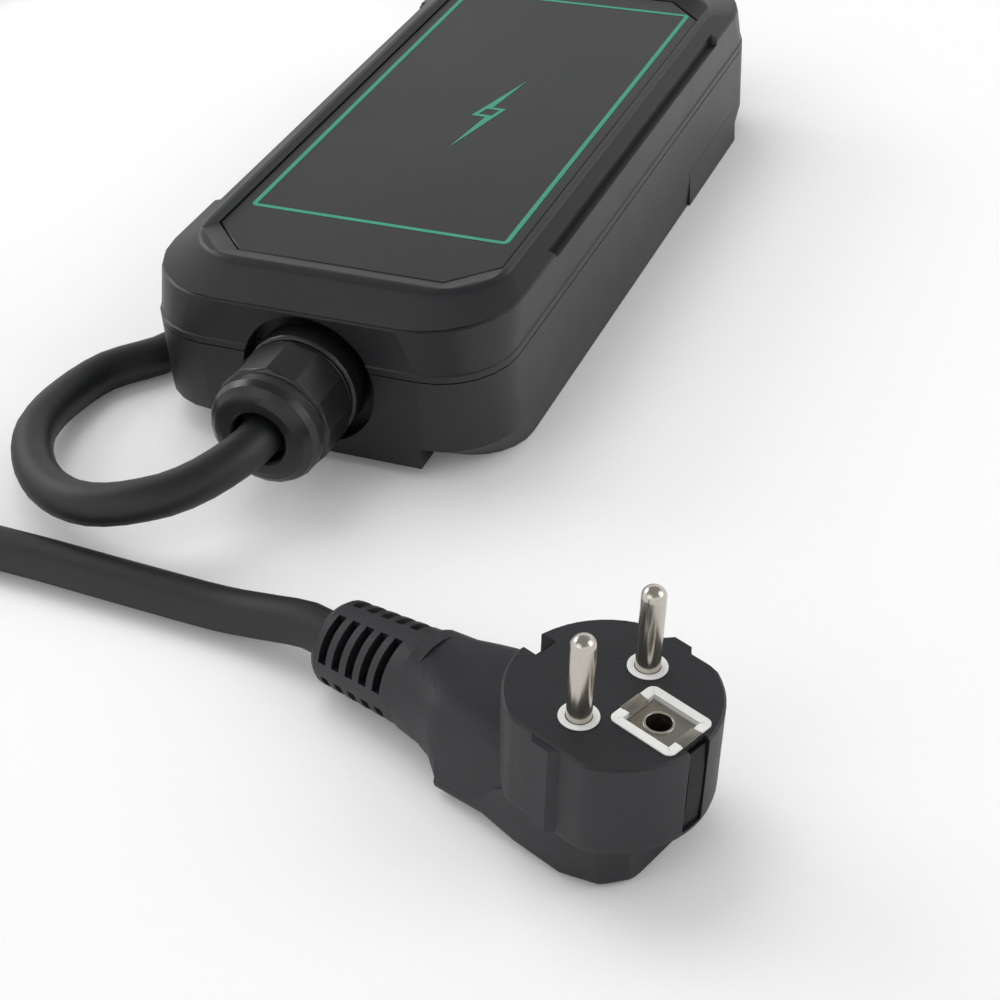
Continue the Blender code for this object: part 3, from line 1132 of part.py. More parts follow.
def build():
    for thing in list(bpy.data.objects):
        bpy.data.objects.remove(thing)
    black = material("black_shell", (0.030, 0.031, 0.033), 0.55)
    cover = material("black_cover", (0.030, 0.031, 0.033), 0.5)
    panel = material("dark_panel", (0.055, 0.056, 0.058), 0.38)
    nylon = material("black_nylon", (0.022, 0.022, 0.023), 0.42)
    rubber = material("black_rubber", (0.020, 0.020, 0.021), 0.62)
    seal = material("seal_rubber", (0.04, 0.04, 0.042), 0.8)
    steel = material("screw_steel", (0.62, 0.62, 0.64), 0.32, 1.0)
    board = material("board_green", (0.02, 0.12, 0.05), 0.45)
    relay = material("relay_case", (0.015, 0.03, 0.09), 0.4)
    supply = material("supply_case", (0.03, 0.03, 0.03), 0.5)
    sleeve = material("capacitor_sleeve", (0.02, 0.02, 0.05), 0.35)
    varistor = material("varistor_coat", (0.02, 0.10, 0.22), 0.5)
    fuse = material("fuse_body", (0.75, 0.70, 0.60), 0.4)
    core = material("core_tape", (0.55, 0.42, 0.08), 0.5)
    block = material("terminal_green", (0.03, 0.18, 0.08), 0.45)
    clear = material("light_bar", (0.85, 0.88, 0.87), 0.2)
    lamp = material("lamp_white", (0.85, 0.83, 0.70), 0.3)
    ribbon = material("ribbon_grey", (0.35, 0.36, 0.38), 0.5)
    brown = material("wire_brown", (0.10, 0.045, 0.02), 0.45)
    blue = material("wire_blue", (0.02, 0.10, 0.35), 0.45)
    yellow = material("wire_green_yellow", (0.35, 0.45, 0.05), 0.45)
    mould = material("plug_rubber", (0.026, 0.026, 0.027), 0.7)
    cord = material("cord_rubber", (0.022, 0.022, 0.023), 0.6)
    white = material("white_insert", (0.86, 0.86, 0.84), 0.4)
    nickel = material("nickel", (0.66, 0.62, 0.56), 0.22, 1.0)

    lower_housing(black)
    upper_housing(cover)
    front_panel(panel)
    seal_strip("seal_strip_left", -1, seal)
    seal_strip("seal_strip_right", 1, seal)
    count = 0
    for x in (-BOSS_X, BOSS_X):
        for y in BOSS_Y:
            count += 1
            seat = SCREW_SINK + SCREW_HEAD_HEIGHT
            screw(f"housing_screw_{count}", steel, SCREW_HEAD_RADIUS, SCREW_RADIUS,
                  SCREW_HEAD_HEIGHT, SCREW_TOP - seat - GAP, (x, y, seat), True)

    main_board(board)
    count = 0
    for x in (-BOARD_POST_X, BOARD_POST_X):
        for y in (-BOARD_POST_Y, BOARD_POST_Y):
            count += 1
            screw(f"board_screw_{count}", steel, SMALL_HEAD_RADIUS, SMALL_SCREW_RADIUS,
                  SMALL_HEAD_HEIGHT, SMALL_SCREW_LENGTH, (x, y, BOARD_TOP + GAP), False)
    floor = BOARD_TOP + GAP
    for i, x in enumerate(RELAY_X):
        box_part(f"relay_{i + 1}", relay, RELAY_SIZE, (x, RELAY_Y, floor), 0.6 * MM)
    box_part("power_supply", supply, SUPPLY_SIZE, (*SUPPLY_PLACE, floor), 0.8 * MM)
    for i, y in enumerate(CAPACITOR_Y):
        cylinder_part(f"capacitor_{i + 1}", sleeve, CAPACITOR_RADIUS, CAPACITOR_HEIGHT,
                      (CAPACITOR_X, y, floor), 0.6 * MM)
    lying = Matrix.Rotation(-pi / 2, 4, "X")
    cylinder_part("varistor", varistor, VARISTOR_RADIUS, VARISTOR_THICKNESS,
                  (*VARISTOR_PLACE, floor + VARISTOR_RADIUS), 1.0 * MM, lying)
    cylinder_part("fuse", fuse, FUSE_RADIUS, FUSE_LENGTH,
                  (FUSE_PLACE[0], FUSE_PLACE[1] - FUSE_LENGTH / 2, floor + FUSE_RADIUS),
                  0.5 * MM, lying)
    residual_current_coil(core)
    terminal("input_terminal", block, 0)
    terminal("output_terminal", block, 1)
    indicator_board(board)
    for i, sign in enumerate((-1, 1)):
        screw(f"indicator_screw_{i + 1}", steel, SMALL_HEAD_RADIUS, SMALL_SCREW_RADIUS,
              SMALL_HEAD_HEIGHT, SMALL_SCREW_LENGTH,
              (LIGHT_X, LIGHT_Y + sign * INDICATOR_POST_PITCH / 2, INDICATOR_Z - GAP), True)
    for i in range(LED_COUNT):
        y = LIGHT_Y + (i - (LED_COUNT - 1) / 2) * LED_PITCH
        box_part(f"led_{i + 1}", lamp, LED_SIZE, (LIGHT_X, y, INDICATOR_TOP + GAP), 0.25 * MM)
    light_guide(clear)
    ribbon_cable(ribbon)

    for side, sign in (("mains", -1), ("vehicle", 1)):
        gland_body(f"{side}_gland_body", sign, nylon)
        gland_nut(f"{side}_gland_nut", sign, nylon)
        gland_seal(f"{side}_gland_seal", sign, rubber)
        gland_locknut(f"{side}_gland_locknut", sign, nylon)
    mains_cord(cord)
    conductor("earth_conductor", yellow, 0)
    conductor("live_conductor", brown, 1)
    conductor("neutral_conductor", blue, 2)

    plug_body(mould)
    contact_carrier(white)
    contact_pin("live_pin", -1, nickel)
    contact_pin("neutral_pin", 1, nickel)
    earth_contact(nickel)
    earth_clip("earth_clip_front", -1, nickel)
    earth_clip("earth_clip_rear", 1, nickel)


build()
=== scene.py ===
"""Visual model of a portable charger for an electric car: control box, glands, lead and plug."""
from math import cos, radians, sin

import bpy
from mathutils import Matrix, Vector
from mathutils.geometry import interpolate_bezier


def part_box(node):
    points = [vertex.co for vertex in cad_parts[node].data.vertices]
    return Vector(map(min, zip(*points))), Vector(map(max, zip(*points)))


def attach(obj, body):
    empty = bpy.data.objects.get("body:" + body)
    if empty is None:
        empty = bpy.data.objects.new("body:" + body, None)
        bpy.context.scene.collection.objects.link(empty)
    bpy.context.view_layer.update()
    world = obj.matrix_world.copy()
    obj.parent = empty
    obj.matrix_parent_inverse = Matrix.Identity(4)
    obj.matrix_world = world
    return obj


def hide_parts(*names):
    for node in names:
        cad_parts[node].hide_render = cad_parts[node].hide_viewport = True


bl_info = {
    "name": "Portable Charger Dressing",
    "version": (1, 0, 0),
    "blender": (4, 5, 0),
    "location": "View3D > Sidebar > Charger",
    "description": "Finishes the pieces of a portable electric car charger and sets its studio",
    "category": "Object",
}

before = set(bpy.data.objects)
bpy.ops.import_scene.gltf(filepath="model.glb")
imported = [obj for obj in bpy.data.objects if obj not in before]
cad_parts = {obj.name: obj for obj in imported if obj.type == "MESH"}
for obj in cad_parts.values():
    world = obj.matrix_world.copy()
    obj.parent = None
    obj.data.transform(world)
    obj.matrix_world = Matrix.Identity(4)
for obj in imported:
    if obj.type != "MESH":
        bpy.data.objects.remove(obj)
MM = 0.001

# The lead's centre line, in millimetres, as the solids have it
GLAND_HEIGHT = 22.0
LEAD_INSIDE = ((0.0, -104.0, GLAND_HEIGHT), (0.0, -118.1, GLAND_HEIGHT))
LEAD_ROUTE = (
    (0.0, -131.7, 22.0), (-1.6, -136.9, 21.2), (-4.2, -141.7, 20.2), (-7.4, -146.1, 19.1),
    (-12.3, -150.7, 17.9), (-18.2, -153.9, 16.9), (-25.0, -155.5, 15.4), (-32.6, -155.1, 13.7),
    (-40.6, -152.3, 12.2), (-49.0, -146.9, 10.8), (-57.4, -138.3, 9.5), (-63.8, -127.9, 8.3),
    (-66.6, -117.1, 7.1), (-67.2, -108.1, 6.0), (-66.6, -99.7, 5.2), (-64.4, -93.5, 5.1),
    (-60.4, -88.5, 5.1), (-55.6, -83.5, 5.1), (-52.2, -74.7, 5.1), (-51.4, -44.7, 5.1),
    (-51.4, 5.3, 5.1), (-51.4, 55.3, 5.1), (-52.0, 95.3, 5.1), (-54.0, 127.3, 5.1), (-62.0, 153.3, 5.1),
    (-84.0, 171.3, 5.1), (-116.0, 175.3, 5.1), (-150.0, 167.3, 5.1), (-186.0, 156.3, 5.1),
    (-220.0, 142.3, 5.1), (-246.0, 119.3, 5.1), (-249.0, 87.3, 5.1), (-232.0, 55.3, 5.1),
    (-200.0, 7.3, 5.1), (-166.0, -44.7, 5.1), (-132.0, -96.7, 5.1), (-103.0, -139.7, 5.1),
    (-84.0, -158.7, 5.1), (-62.0, -165.1, 5.1), (-36.0, -166.7, 5.1), (-9.2, -168.3, 5.1),
    (10.0, -169.6, 5.5), (22.5, -170.9, 7.4),
)
POINT_SPACING = 4.5

# The plug, in millimetres and degrees. Its own frame has the face's middle over the origin, Y along the grip.
PLUG_PLACE = (108.9, -196.4)
PLUG_TURN = 72.6
RELIEF_END = 72.8
RELIEF_AXIS = 9.4
RELIEF_GAP = 0.7
RELIEF_LEAD_IN = 8.0
RELIEF_DROP = 0.3
FACE_HEIGHT = 33.0
FACE_TURN = -4.0
FACE_TILT = 4.0
FACE_ROLL = 2.1
PIN_RADIUS = 2.4
PIN_PITCH = 19.0
PIN_ROOT = 15.0
PIN_LENGTH = 19.0
PIN_DOME = 2.25
COLLAR_RADII = (3.85, 2.5)
COLLAR_TOP = FACE_HEIGHT + 0.30
RIM_RADII = (2.95, 2.45)
RIM_TOP = FACE_HEIGHT - 0.45
EARTH_OFFSET = 10.8
WINDOW_WIDTH = 12.6
WINDOW_NEAR = 3.9
WINDOW_FAR = 18.5
WINDOW_TOP = FACE_HEIGHT + 0.32
WINDOW_CORNER = 1.6
WINDOW_BORDER = 1.9
WINDOW_GAP = 5.4
STRIP_TOP = FACE_HEIGHT + 0.2
STRIP_PLAY = 0.3
STRIP_DROP = 0.55
STRIP_SHEET = 0.18
HEEL_RINGS = (-8.0, -12.0)
HEEL_TOP = 10.6
HEEL_ROUNDING = 2.0

# The print on the front plate, in millimetres
PRINT_LIFT = 0.01
LINE_CORNER = 1.6
MARK_CORNERS = ((5.6, 22.6), (-1.0, -1.2), (3.0, -1.2), (0.6, -20.0), (6.6, 4.6), (2.8, 4.6))
MARK_LINE_SHARE = 0.9

# Where two faces meet at less than this many degrees, they are shaded as one
SMOOTH_ANGLE = 35

# The studio, in metres, degrees and watts
CAMERA_PLACE = (0.209065, -0.461992, 0.284481)
CAMERA_AZIMUTH = 24.382
CAMERA_ELEVATION = 36.159
CAMERA_ROLL = -3.623
FLOOR_SIDE = 8.0
FLOOR_DROP = 0.0002
FLOOR_LIFT = 0.07
LAMP_AIM = (0.0, -0.05, 0.0)
LAMPS = (
    ("key_lamp", (-0.5, 0.3, 1.35), (0.9, 0.9), 6.0),
    ("side_lamp", (-1.25, 0.15, 0.85), (0.9, 0.6), 5.0),
    ("fill_lamp", (1.15, 0.15, 0.75), (0.9, 0.9), 3.8),
    ("front_lamp", (-0.5, -1.3, 0.9), (1.0, 0.8), 2.2),
)


class ChargerLayout(bpy.types.PropertyGroup):
    """Sizes that a user would change."""
    lead_diameter: bpy.props.FloatProperty(
        name="Lead diameter", description="Outside diameter of the rubber lead",
        default=10.0 * MM, min=5 * MM, max=14 * MM, precision=5, subtype="DISTANCE", unit="LENGTH")
    lead_length: bpy.props.FloatProperty(
        name="Lead length", description="Length of the lead between the gland and the plug",
        default=1.065, min=0.3, max=5.0, precision=4, subtype="DISTANCE", unit="LENGTH")
    frame_half_width: bpy.props.FloatProperty(
        name="Printed frame half width", description="Middle of the box to the printed line's outer edge",
        default=34.6 * MM, min=20 * MM, max=37 * MM, precision=5, subtype="DISTANCE", unit="LENGTH")
    frame_half_length: bpy.props.FloatProperty(
        name="Printed frame half length", description="Middle of the box to the printed line's end",
        default=69.9 * MM, min=40 * MM, max=80 * MM, precision=5, subtype="DISTANCE", unit="LENGTH")
    frame_shift: bpy.props.FloatProperty(
        name="Printed frame shift",
        description="How far the printed frame's middle lies behind the box's middle",
        default=6.5 * MM, min=-20 * MM, max=20 * MM, precision=5, subtype="DISTANCE", unit="LENGTH")
    line_width: bpy.props.FloatProperty(
        name="Line width", description="Width of the printed line",
        default=1.25 * MM, min=0.3 * MM, max=3 * MM, precision=5, subtype="DISTANCE", unit="LENGTH")
    print_height: bpy.props.FloatProperty(
        name="Print height", description="Thickness of the printed ink",
        default=0.05 * MM, min=0.02 * MM, max=0.2 * MM, precision=6, subtype="DISTANCE", unit="LENGTH")
    camera_lens: bpy.props.FloatProperty(
        name="Lens", description="Focal length of the studio camera in millimetres",
        default=74.82, min=20, max=200)
    lamp_share: bpy.props.FloatProperty(
        name="Lamp level", description="Strength of all the studio lamps together",
        default=1.0, min=0.1, max=3.0, subtype="FACTOR")


class ChargerColours(bpy.types.PropertyGroup):
    """Colours that a user would change, as sRGB hex."""
    housing: bpy.props.StringProperty(
        name="Housing", description="Colour of the moulded housing", default="#191a1c")
    panel: bpy.props.StringProperty(
        name="Panel", description="Colour of the front plate", default="#1e1f21")
    line: bpy.props.StringProperty(
        name="Line", description="Colour of the printed line and mark", default="#3a9a7e")
    plug: bpy.props.StringProperty(
        name="Plug", description="Colour of the plug's overmould", default="#1f2024")
    lead: bpy.props.StringProperty(
        name="Lead", description="Colour of the lead's sheath", default="#17181a")


def linear(code):
    """Turn an sRGB hex colour into linear values with an alpha of one."""
    parts = [int(code[i:i + 2], 16) / 255 for i in (1, 3, 5)]
    return tuple(c / 12.92 if c <= 0.04045 else ((c + 0.055) / 1.055) ** 2.4 for c in parts) + (1.0,)


def node(tree, kind, settings=None, links=None, values=None):
    """Add a node with its settings, its socket values and the links into it."""
    made = tree.nodes.new(kind)
    for key, value in (settings or {}).items():
        setattr(made, key, value)
    for key, value in (values or {}).items():
        made.inputs[key].default_value = value
    for key, source in (links or {}).items():
        tree.links.new(source, made.inputs[key])
    return made


def start_material(name, roughness=0.5, metallic=0.0, ior=1.5):
    """A material with its shader's constant values, and its Object coordinates."""
    finish = bpy.data.materials.new(name)
    finish.use_nodes = True
    tree = finish.node_tree
    shader = tree.nodes["Principled BSDF"]
    shader.inputs["Roughness"].default_value = roughness
    shader.inputs["Metallic"].default_value = metallic
    if not metallic:
        shader.inputs["IOR"].default_value = ior
    place = node(tree, "ShaderNodeTexCoord").outputs["Object"]
    return finish, tree, shader, place


def tint(tree, shader, pattern, dark, light):
    """Blend two hex colours by a pattern into the shader's colour."""
    mix = node(tree, "ShaderNodeMix", {"data_type": "RGBA"}, {"Factor": pattern})
    for socket in mix.inputs:
        if socket.type == "RGBA":
            socket.default_value = linear(dark if socket.name == "A" else light)
    tone = [socket for socket in mix.outputs if socket.type == "RGBA"][0]
    tree.links.new(tone, shader.inputs["Base Color"])


def dull(tree, shader, pattern, rough):
    """Vary the roughness between two values by a pattern."""
    level = node(tree, "ShaderNodeMapRange", {"clamp": True}, {"Value": pattern},
                 {"From Min": 0.3, "From Max": 0.7, "To Min": rough[0], "To Max": rough[1]})
    tree.links.new(level.outputs["Result"], shader.inputs["Roughness"])


def emboss(tree, shader, pattern, strength, depth):
    """Raise a pattern by a depth in millimetres."""
    relief = node(tree, "ShaderNodeBump", links={"Height": pattern},
                  values={"Strength": strength, "Distance": depth * MM})
    tree.links.new(relief.outputs["Normal"], shader.inputs["Normal"])


def grained(name, dark, light, patch, grain, depth, rough, ior=1.5, metallic=0.0, strength=0.35):
    """A moulded or plated surface: soft patches of tone, and a fine grain in relief.

    patch and grain are the sizes in millimetres of the patches and of the grain."""
    finish, tree, shader, place = start_material(name, rough[0], metallic, ior)
    cloud = node(tree, "ShaderNodeTexNoise", links={"Vector": place},
                 values={"Scale": 1000.0 / patch, "Detail": 3.0, "Roughness": 0.55}).outputs["Fac"]
    fine = node(tree, "ShaderNodeTexNoise", links={"Vector": place},
                values={"Scale": 1000.0 / grain, "Detail": 2.0, "Roughness": 0.6}).outputs["Fac"]
    blend = node(tree, "ShaderNodeMath", {"operation": "MULTIPLY_ADD"}, {0: fine, 2: cloud}, {1: 0.6})
    ramp = node(tree, "ShaderNodeMapRange", {"clamp": True}, {"Value": blend.outputs[0]},
                {"From Min": 0.55, "From Max": 1.05})
    tint(tree, shader, ramp.outputs["Result"], dark, light)
    dull(tree, shader, cloud, rough)
    emboss(tree, shader, fine, strength, depth)
    return finish


def streaked(name, dark, light, rough, along, across, depth):
    """A drawn or turned metal: fine lines, long one way and narrow the other, in millimetres."""
    finish, tree, shader, place = start_material(name, rough[0], 1.0)
    laid = node(tree, "ShaderNodeMapping", links={"Vector": place},
                values={"Scale": (1000.0 / across, 1000.0 / across, 1000.0 / along)})
    lines = node(tree, "ShaderNodeTexNoise", links={"Vector": laid.outputs["Vector"]},
                 values={"Scale": 1.0, "Detail": 3.0, "Roughness": 0.6}).outputs["Fac"]
    tint(tree, shader, lines, dark, light)
    dull(tree, shader, lines, rough)
    emboss(tree, shader, lines, 0.3, depth)
    return finish



def moulded_abs(colour):
    """Black ABS from a spark-textured mould: a satin skin whose grain spreads the window light."""
    return grained("moulded_abs", "#141517", colour, 38.0, 0.35, 0.02, (0.36, 0.44), 1.53)


def panel_foil(colour):
    """Dark grey polyester foil, screen printed on its back: smooth, satin and a little lighter."""
    return grained("panel_foil", "#1b1c1e", colour, 60.0, 0.5, 0.004, (0.38, 0.44), 1.46, strength=0.15)


def green_ink(colour):
    """Screen-printed green ink: flat and matt, with a faint mesh in its colour."""
    return grained("green_ink", "#2a8f71", colour, 9.0, 0.3, 0.004, (0.5, 0.6), 1.5, strength=0.1)


def gland_nylon():
    """Moulded black polyamide: deeper black than the housing, smooth, with soft highlights."""
    return grained("gland_nylon", "#0e0e0f", "#141516", 14.0, 0.4, 0.01, (0.28, 0.36), 1.53, strength=0.25)


def seal_rubber():
    """Moulded EPDM rubber: matt black with a dusty bloom."""
    return grained("seal_rubber", "#121213", "#1b1b1c", 6.0, 0.25, 0.015, (0.6, 0.75), 1.52)


def lead_sheath(colour):
    """Extruded rubber sheath of the mains lead: matt, with a talc bloom and faint die lines."""
    return grained("lead_sheath", "#121315", colour, 26.0, 0.45, 0.014, (0.46, 0.56), 1.52, strength=0.3)


def plug_overmould(colour):
    """Soft PVC overmould of the plug, from a shot-blasted mould: even matt grain."""
    return grained("plug_overmould", "#151619", colour, 16.0, 0.6, 0.09, (0.46, 0.55), 1.53, strength=0.9)


def white_insert():
    """White moulded thermoplastic that holds the contacts: clean and slightly glossy."""
    return grained("white_insert", "#e2e2df", "#ececea", 9.0, 0.5, 0.004, (0.34, 0.42), 1.53, strength=0.15)


def nickel_plate():
    """Brass under bright nickel plate: a warm silver with faint turning lines."""
    return streaked("nickel_plate", "#b9b3a8", "#d6d1c8", (0.16, 0.26), 9.0, 0.25, 0.004)


def spring_metal():
    """Stamped spring bronze of the earth contacts, dull nickel plated: darker and softer than the pins."""
    return streaked("spring_metal", "#8d8880", "#b0aba2", (0.32, 0.44), 6.0, 0.3, 0.005)


def clip_slot_shade():
    """Earth clips deep in their slots: painted shade, dull nickel coloured almost black for the slot's shadow
    over them.
    """
    return streaked("clip_slot_shade", "#1c1a18", "#2c2926", (0.40, 0.52), 6.0, 0.3, 0.005)


def zinc_steel():
    """Zinc-plated steel screws: pale grey with a slight bloom."""
    return grained("zinc_steel", "#9b9da0", "#b6b8ba", 3.0, 0.3, 0.006, (0.28, 0.4), metallic=1.0)


def board_laminate():
    """Green solder mask over glass laminate, with the weave just showing."""
    return grained("board_laminate", "#0f4a26", "#17602f", 5.0, 0.5, 0.006, (0.22, 0.32), 1.55)


def relay_case():
    """Dark blue moulded relay case, glossy."""
    return grained("relay_case", "#14223f", "#1b2c50", 8.0, 0.4, 0.006, (0.25, 0.34), 1.53)


def supply_case():
    """Black potted supply module with a matt moulded case."""
    return grained("supply_case", "#1a1a1b", "#242526", 7.0, 0.35, 0.012, (0.5, 0.6), 1.53)


def capacitor_sleeve():
    """Dark shrink sleeve over an aluminium can, glossy."""
    return grained("capacitor_sleeve", "#15162b", "#1e2040", 6.0, 0.6, 0.004, (0.2, 0.3), 1.53)


def varistor_coat():
    """Blue dipped epoxy coat, uneven and glossy."""
    return grained("varistor_coat", "#1c4a7c", "#2a6399", 3.0, 0.8, 0.03, (0.2, 0.32), 1.55)


def fuse_ceramic():
    """Glazed ceramic fuse body, off-white."""
    return grained("fuse_ceramic", "#cfc6b2", "#ddd6c6", 4.0, 0.5, 0.005, (0.22, 0.3), 1.6)


def core_tape():
    """Yellow polyester tape wound round the sensing core."""
    return grained("core_tape", "#b28d26", "#caa438", 2.5, 0.4, 0.01, (0.34, 0.45), 1.55)


def terminal_block():
    """Green moulded polyamide terminal block."""
    return grained("terminal_block", "#1b6a3c", "#247c49", 6.0, 0.35, 0.008, (0.4, 0.5), 1.53)


def clear_acrylic():
    """Clear acrylic light bar, frosted inside: pale and smooth."""
    return grained("clear_acrylic", "#d8dedb", "#e6eae8", 10.0, 0.8, 0.003, (0.14, 0.22), 1.49)


def lamp_package():
    """Pale yellow moulded lamp package."""
    return grained("lamp_package", "#dcd6ae", "#e9e4c4", 1.5, 0.3, 0.004, (0.3, 0.4), 1.5)


def ribbon_jacket():
    """Grey flat cable in soft PVC."""
    return grained("ribbon_jacket", "#8b8e92", "#9da0a3", 2.0, 0.4, 0.01, (0.45, 0.55), 1.53)


def wire_jacket(name, dark, light):
    """Smooth PVC insulation of one inner conductor."""
    return grained(name, dark, light, 3.0, 0.4, 0.005, (0.35, 0.45), 1.53)


def clear_selection():
    """Leave edit mode and deselect everything."""
    if bpy.context.object and bpy.context.object.mode != "OBJECT":
        bpy.ops.object.mode_set(mode="OBJECT")
    bpy.ops.object.select_all(action="DESELECT")


def make_active(thing):
    """Select one object alone."""
    clear_selection()
    thing.select_set(True)
    bpy.context.view_layer.objects.active = thing


def give(thing, finish):
    """Put one finish on every face of a piece."""
    thing.data.materials.clear()
    thing.data.materials.append(finish)


def edit_all(thing):
    """Open one mesh for editing with all of it selected."""
    make_active(thing)
    bpy.ops.object.mode_set(mode="EDIT")
    bpy.ops.mesh.select_all(action="SELECT")


def close_edit():
    """Go back to object mode."""
    bpy.ops.object.mode_set(mode="OBJECT")


def write_place():
    """Write the selected object's place, turn and scale into its mesh."""
    bpy.ops.object.transform_apply(location=True, rotation=True, scale=True)


def edit_edges(piece, wanted):
    """Open one mesh for editing with only those edges selected whose two ends are wanted."""
    edit_all(piece)
    bpy.ops.mesh.select_all(action="DESELECT")
    bpy.ops.mesh.select_mode(type="EDGE")
    close_edit()
    for edge in piece.data.edges:
        edge.select = wanted([piece.data.vertices[i].co / MM for i in edge.vertices])
    bpy.ops.object.mode_set(mode="EDIT")


def close_edges():
    """Go back to corner selection and object mode."""
    bpy.ops.mesh.select_mode(type="VERT")
    close_edit()


def round_edges(piece, width, segments, limit):
    """Bevel the edges sharper than a limit in degrees by a width in millimetres."""
    rounding = piece.modifiers.new("Edges", "BEVEL")
    rounding.width = width * MM
    rounding.segments = segments
    rounding.limit_method = "ANGLE"
    rounding.angle_limit = radians(limit)
    bpy.ops.object.modifier_apply(modifier="Edges")


def dressed_copy(name, edge, angle=32.0, segments=2, limit=40.0, shaping=None):
    """A merged and softened copy of one CAD node that takes its place: rounded edges, smooth faces."""
    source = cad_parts[name]
    make_active(source)
    bpy.ops.object.duplicate()
    piece = bpy.context.view_layer.objects.active
    piece.name = f"{name}_skin"
    edit_all(piece)
    bpy.ops.mesh.remove_doubles(threshold=0.004 * MM)
    bpy.ops.mesh.dissolve_limited(angle_limit=radians(0.6))
    close_edit()
    if shaping:
        shaping(piece)
    bpy.ops.object.shade_smooth_by_angle(angle=radians(angle))
    round_edges(piece, edge, segments, limit)
    bpy.ops.object.shade_smooth_by_angle(angle=radians(angle))
    even = piece.modifiers.new("Even", "WEIGHTED_NORMAL")
    even.keep_sharp = True
    bpy.ops.object.modifier_apply(modifier="Even")
    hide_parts(name)
    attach(piece, "root")
    return piece


def smooth_line(knots, spacing):
    """Even points on one smooth curve through the knots, as the solids have them."""
    knots = [Vector(k) * MM for k in knots]
    fine = []
    for i in range(len(knots) - 1):
        a, b = knots[i], knots[i + 1]
        before, after = knots[max(i - 1, 0)], knots[min(i + 2, len(knots) - 1)]
        reach = (b - a).length / 3
        first = a + (b - before).normalized() * reach
        second = b - (after - a).normalized() * reach
        fine += interpolate_bezier(a, first, second, b, 24)[:-1]
    fine.append(knots[-1])
    points = [fine[0]]
    for point in fine[1:-1]:
        if (point - points[-1]).length >= spacing:
            points.append(point)
    points.append(fine[-1])
    return points


def plug_matrix():
    """From the plug's own frame to the world, in metres."""
    place = Matrix.Translation((PLUG_PLACE[0] * MM, PLUG_PLACE[1] * MM, 0))
    return place @ Matrix.Rotation(radians(PLUG_TURN), 4, "Z")


def face_matrix():
    """From the plug's face, which leans a little on the grip, to the world, in metres."""
    middle = Matrix.Translation((0, 0, FACE_HEIGHT * MM))
    lean = Matrix.Rotation(radians(FACE_TILT), 4, "X") @ Matrix.Rotation(radians(FACE_ROLL), 4, "Y")
    turn = Matrix.Rotation(radians(FACE_TURN), 4, "Z")
    return plug_matrix() @ middle @ lean @ turn @ middle.inverted()


def settle(thing, matrix):
    """Move a piece to its place and leave its object at the origin."""
    thing.matrix_world = matrix @ thing.matrix_world
    make_active(thing)
    write_place()


class CHARGER_OT_camera(bpy.types.Operator):
    """Set the studio camera at the photograph's view"""
    bl_idname = "charger.camera"
    bl_label = "Camera"

    def execute(self, context):
        az, el, roll = map(radians, (CAMERA_AZIMUTH, CAMERA_ELEVATION, CAMERA_ROLL))
        ahead = Vector((-sin(az) * cos(el), cos(az) * cos(el), -sin(el)))
        side = Vector((cos(az), sin(az), 0))
        over = side.cross(ahead)
        right = side * cos(roll) + over * sin(roll)
        upward = over * cos(roll) - side * sin(roll)
        lens = bpy.data.cameras.new("studio_camera")
        lens.sensor_width = 36
        lens.sensor_fit = "HORIZONTAL"
        lens.lens = context.scene.charger_layout.camera_lens
        lens.clip_start = 0.01
        lens.clip_end = 20
        camera = bpy.data.objects.new("studio_camera", lens)
        context.scene.collection.objects.link(camera)
        turn = Matrix((right, upward, -ahead)).transposed().to_4x4()
        camera.matrix_world = Matrix.Translation(CAMERA_PLACE) @ turn
        context.scene.camera = camera
        return {"FINISHED"}


class CHARGER_OT_lead(bpy.types.Operator):
    """Lay the rubber mains lead from the gland, round the box and into the plug's relief"""
    bl_idname = "charger.lead"
    bl_label = "Mains lead"

    def execute(self, context):
        layout = context.scene.charger_layout
        place = plug_matrix()
        near = place @ Vector((0, (RELIEF_END + RELIEF_LEAD_IN) * MM, (RELIEF_AXIS - RELIEF_DROP) * MM))
        end = place @ Vector((0, (RELIEF_END + RELIEF_GAP) * MM, RELIEF_AXIS * MM))
        knots = list(LEAD_INSIDE) + list(LEAD_ROUTE) + [near / MM, end / MM]
        points = smooth_line(knots, POINT_SPACING * MM)
        curve = bpy.data.curves.new("mains_lead", "CURVE")
        curve.dimensions = "3D"
        curve.bevel_depth = layout.lead_diameter / 2
        curve.bevel_resolution = 8
        curve.use_fill_caps = True
        spline = curve.splines.new("POLY")
        spline.points.add(len(points) - 1)
        for slot, point in zip(spline.points, points):
            slot.co = (*point, 1.0)
        spline.use_smooth = True
        lead = bpy.data.objects.new("mains_lead", curve)
        context.scene.collection.objects.link(lead)
        give(lead, lead_sheath(context.scene.charger_colours.lead))
        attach(lead, "root")
        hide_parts("mains_cord")
        return {"FINISHED"}


class CHARGER_OT_housing(bpy.types.Operator):
    """Finish the two housing mouldings and the front plate with rounded edges"""
    bl_idname = "charger.housing"
    bl_label = "Housing and front plate"

    def execute(self, context):
        colours = context.scene.charger_colours
        skin = moulded_abs(colours.housing)
        for name in ("upper_housing", "lower_housing"):
            give(dressed_copy(name, 0.25, 24), skin)
        give(dressed_copy("front_panel", 0.1), panel_foil(colours.panel))
        return {"FINISHED"}


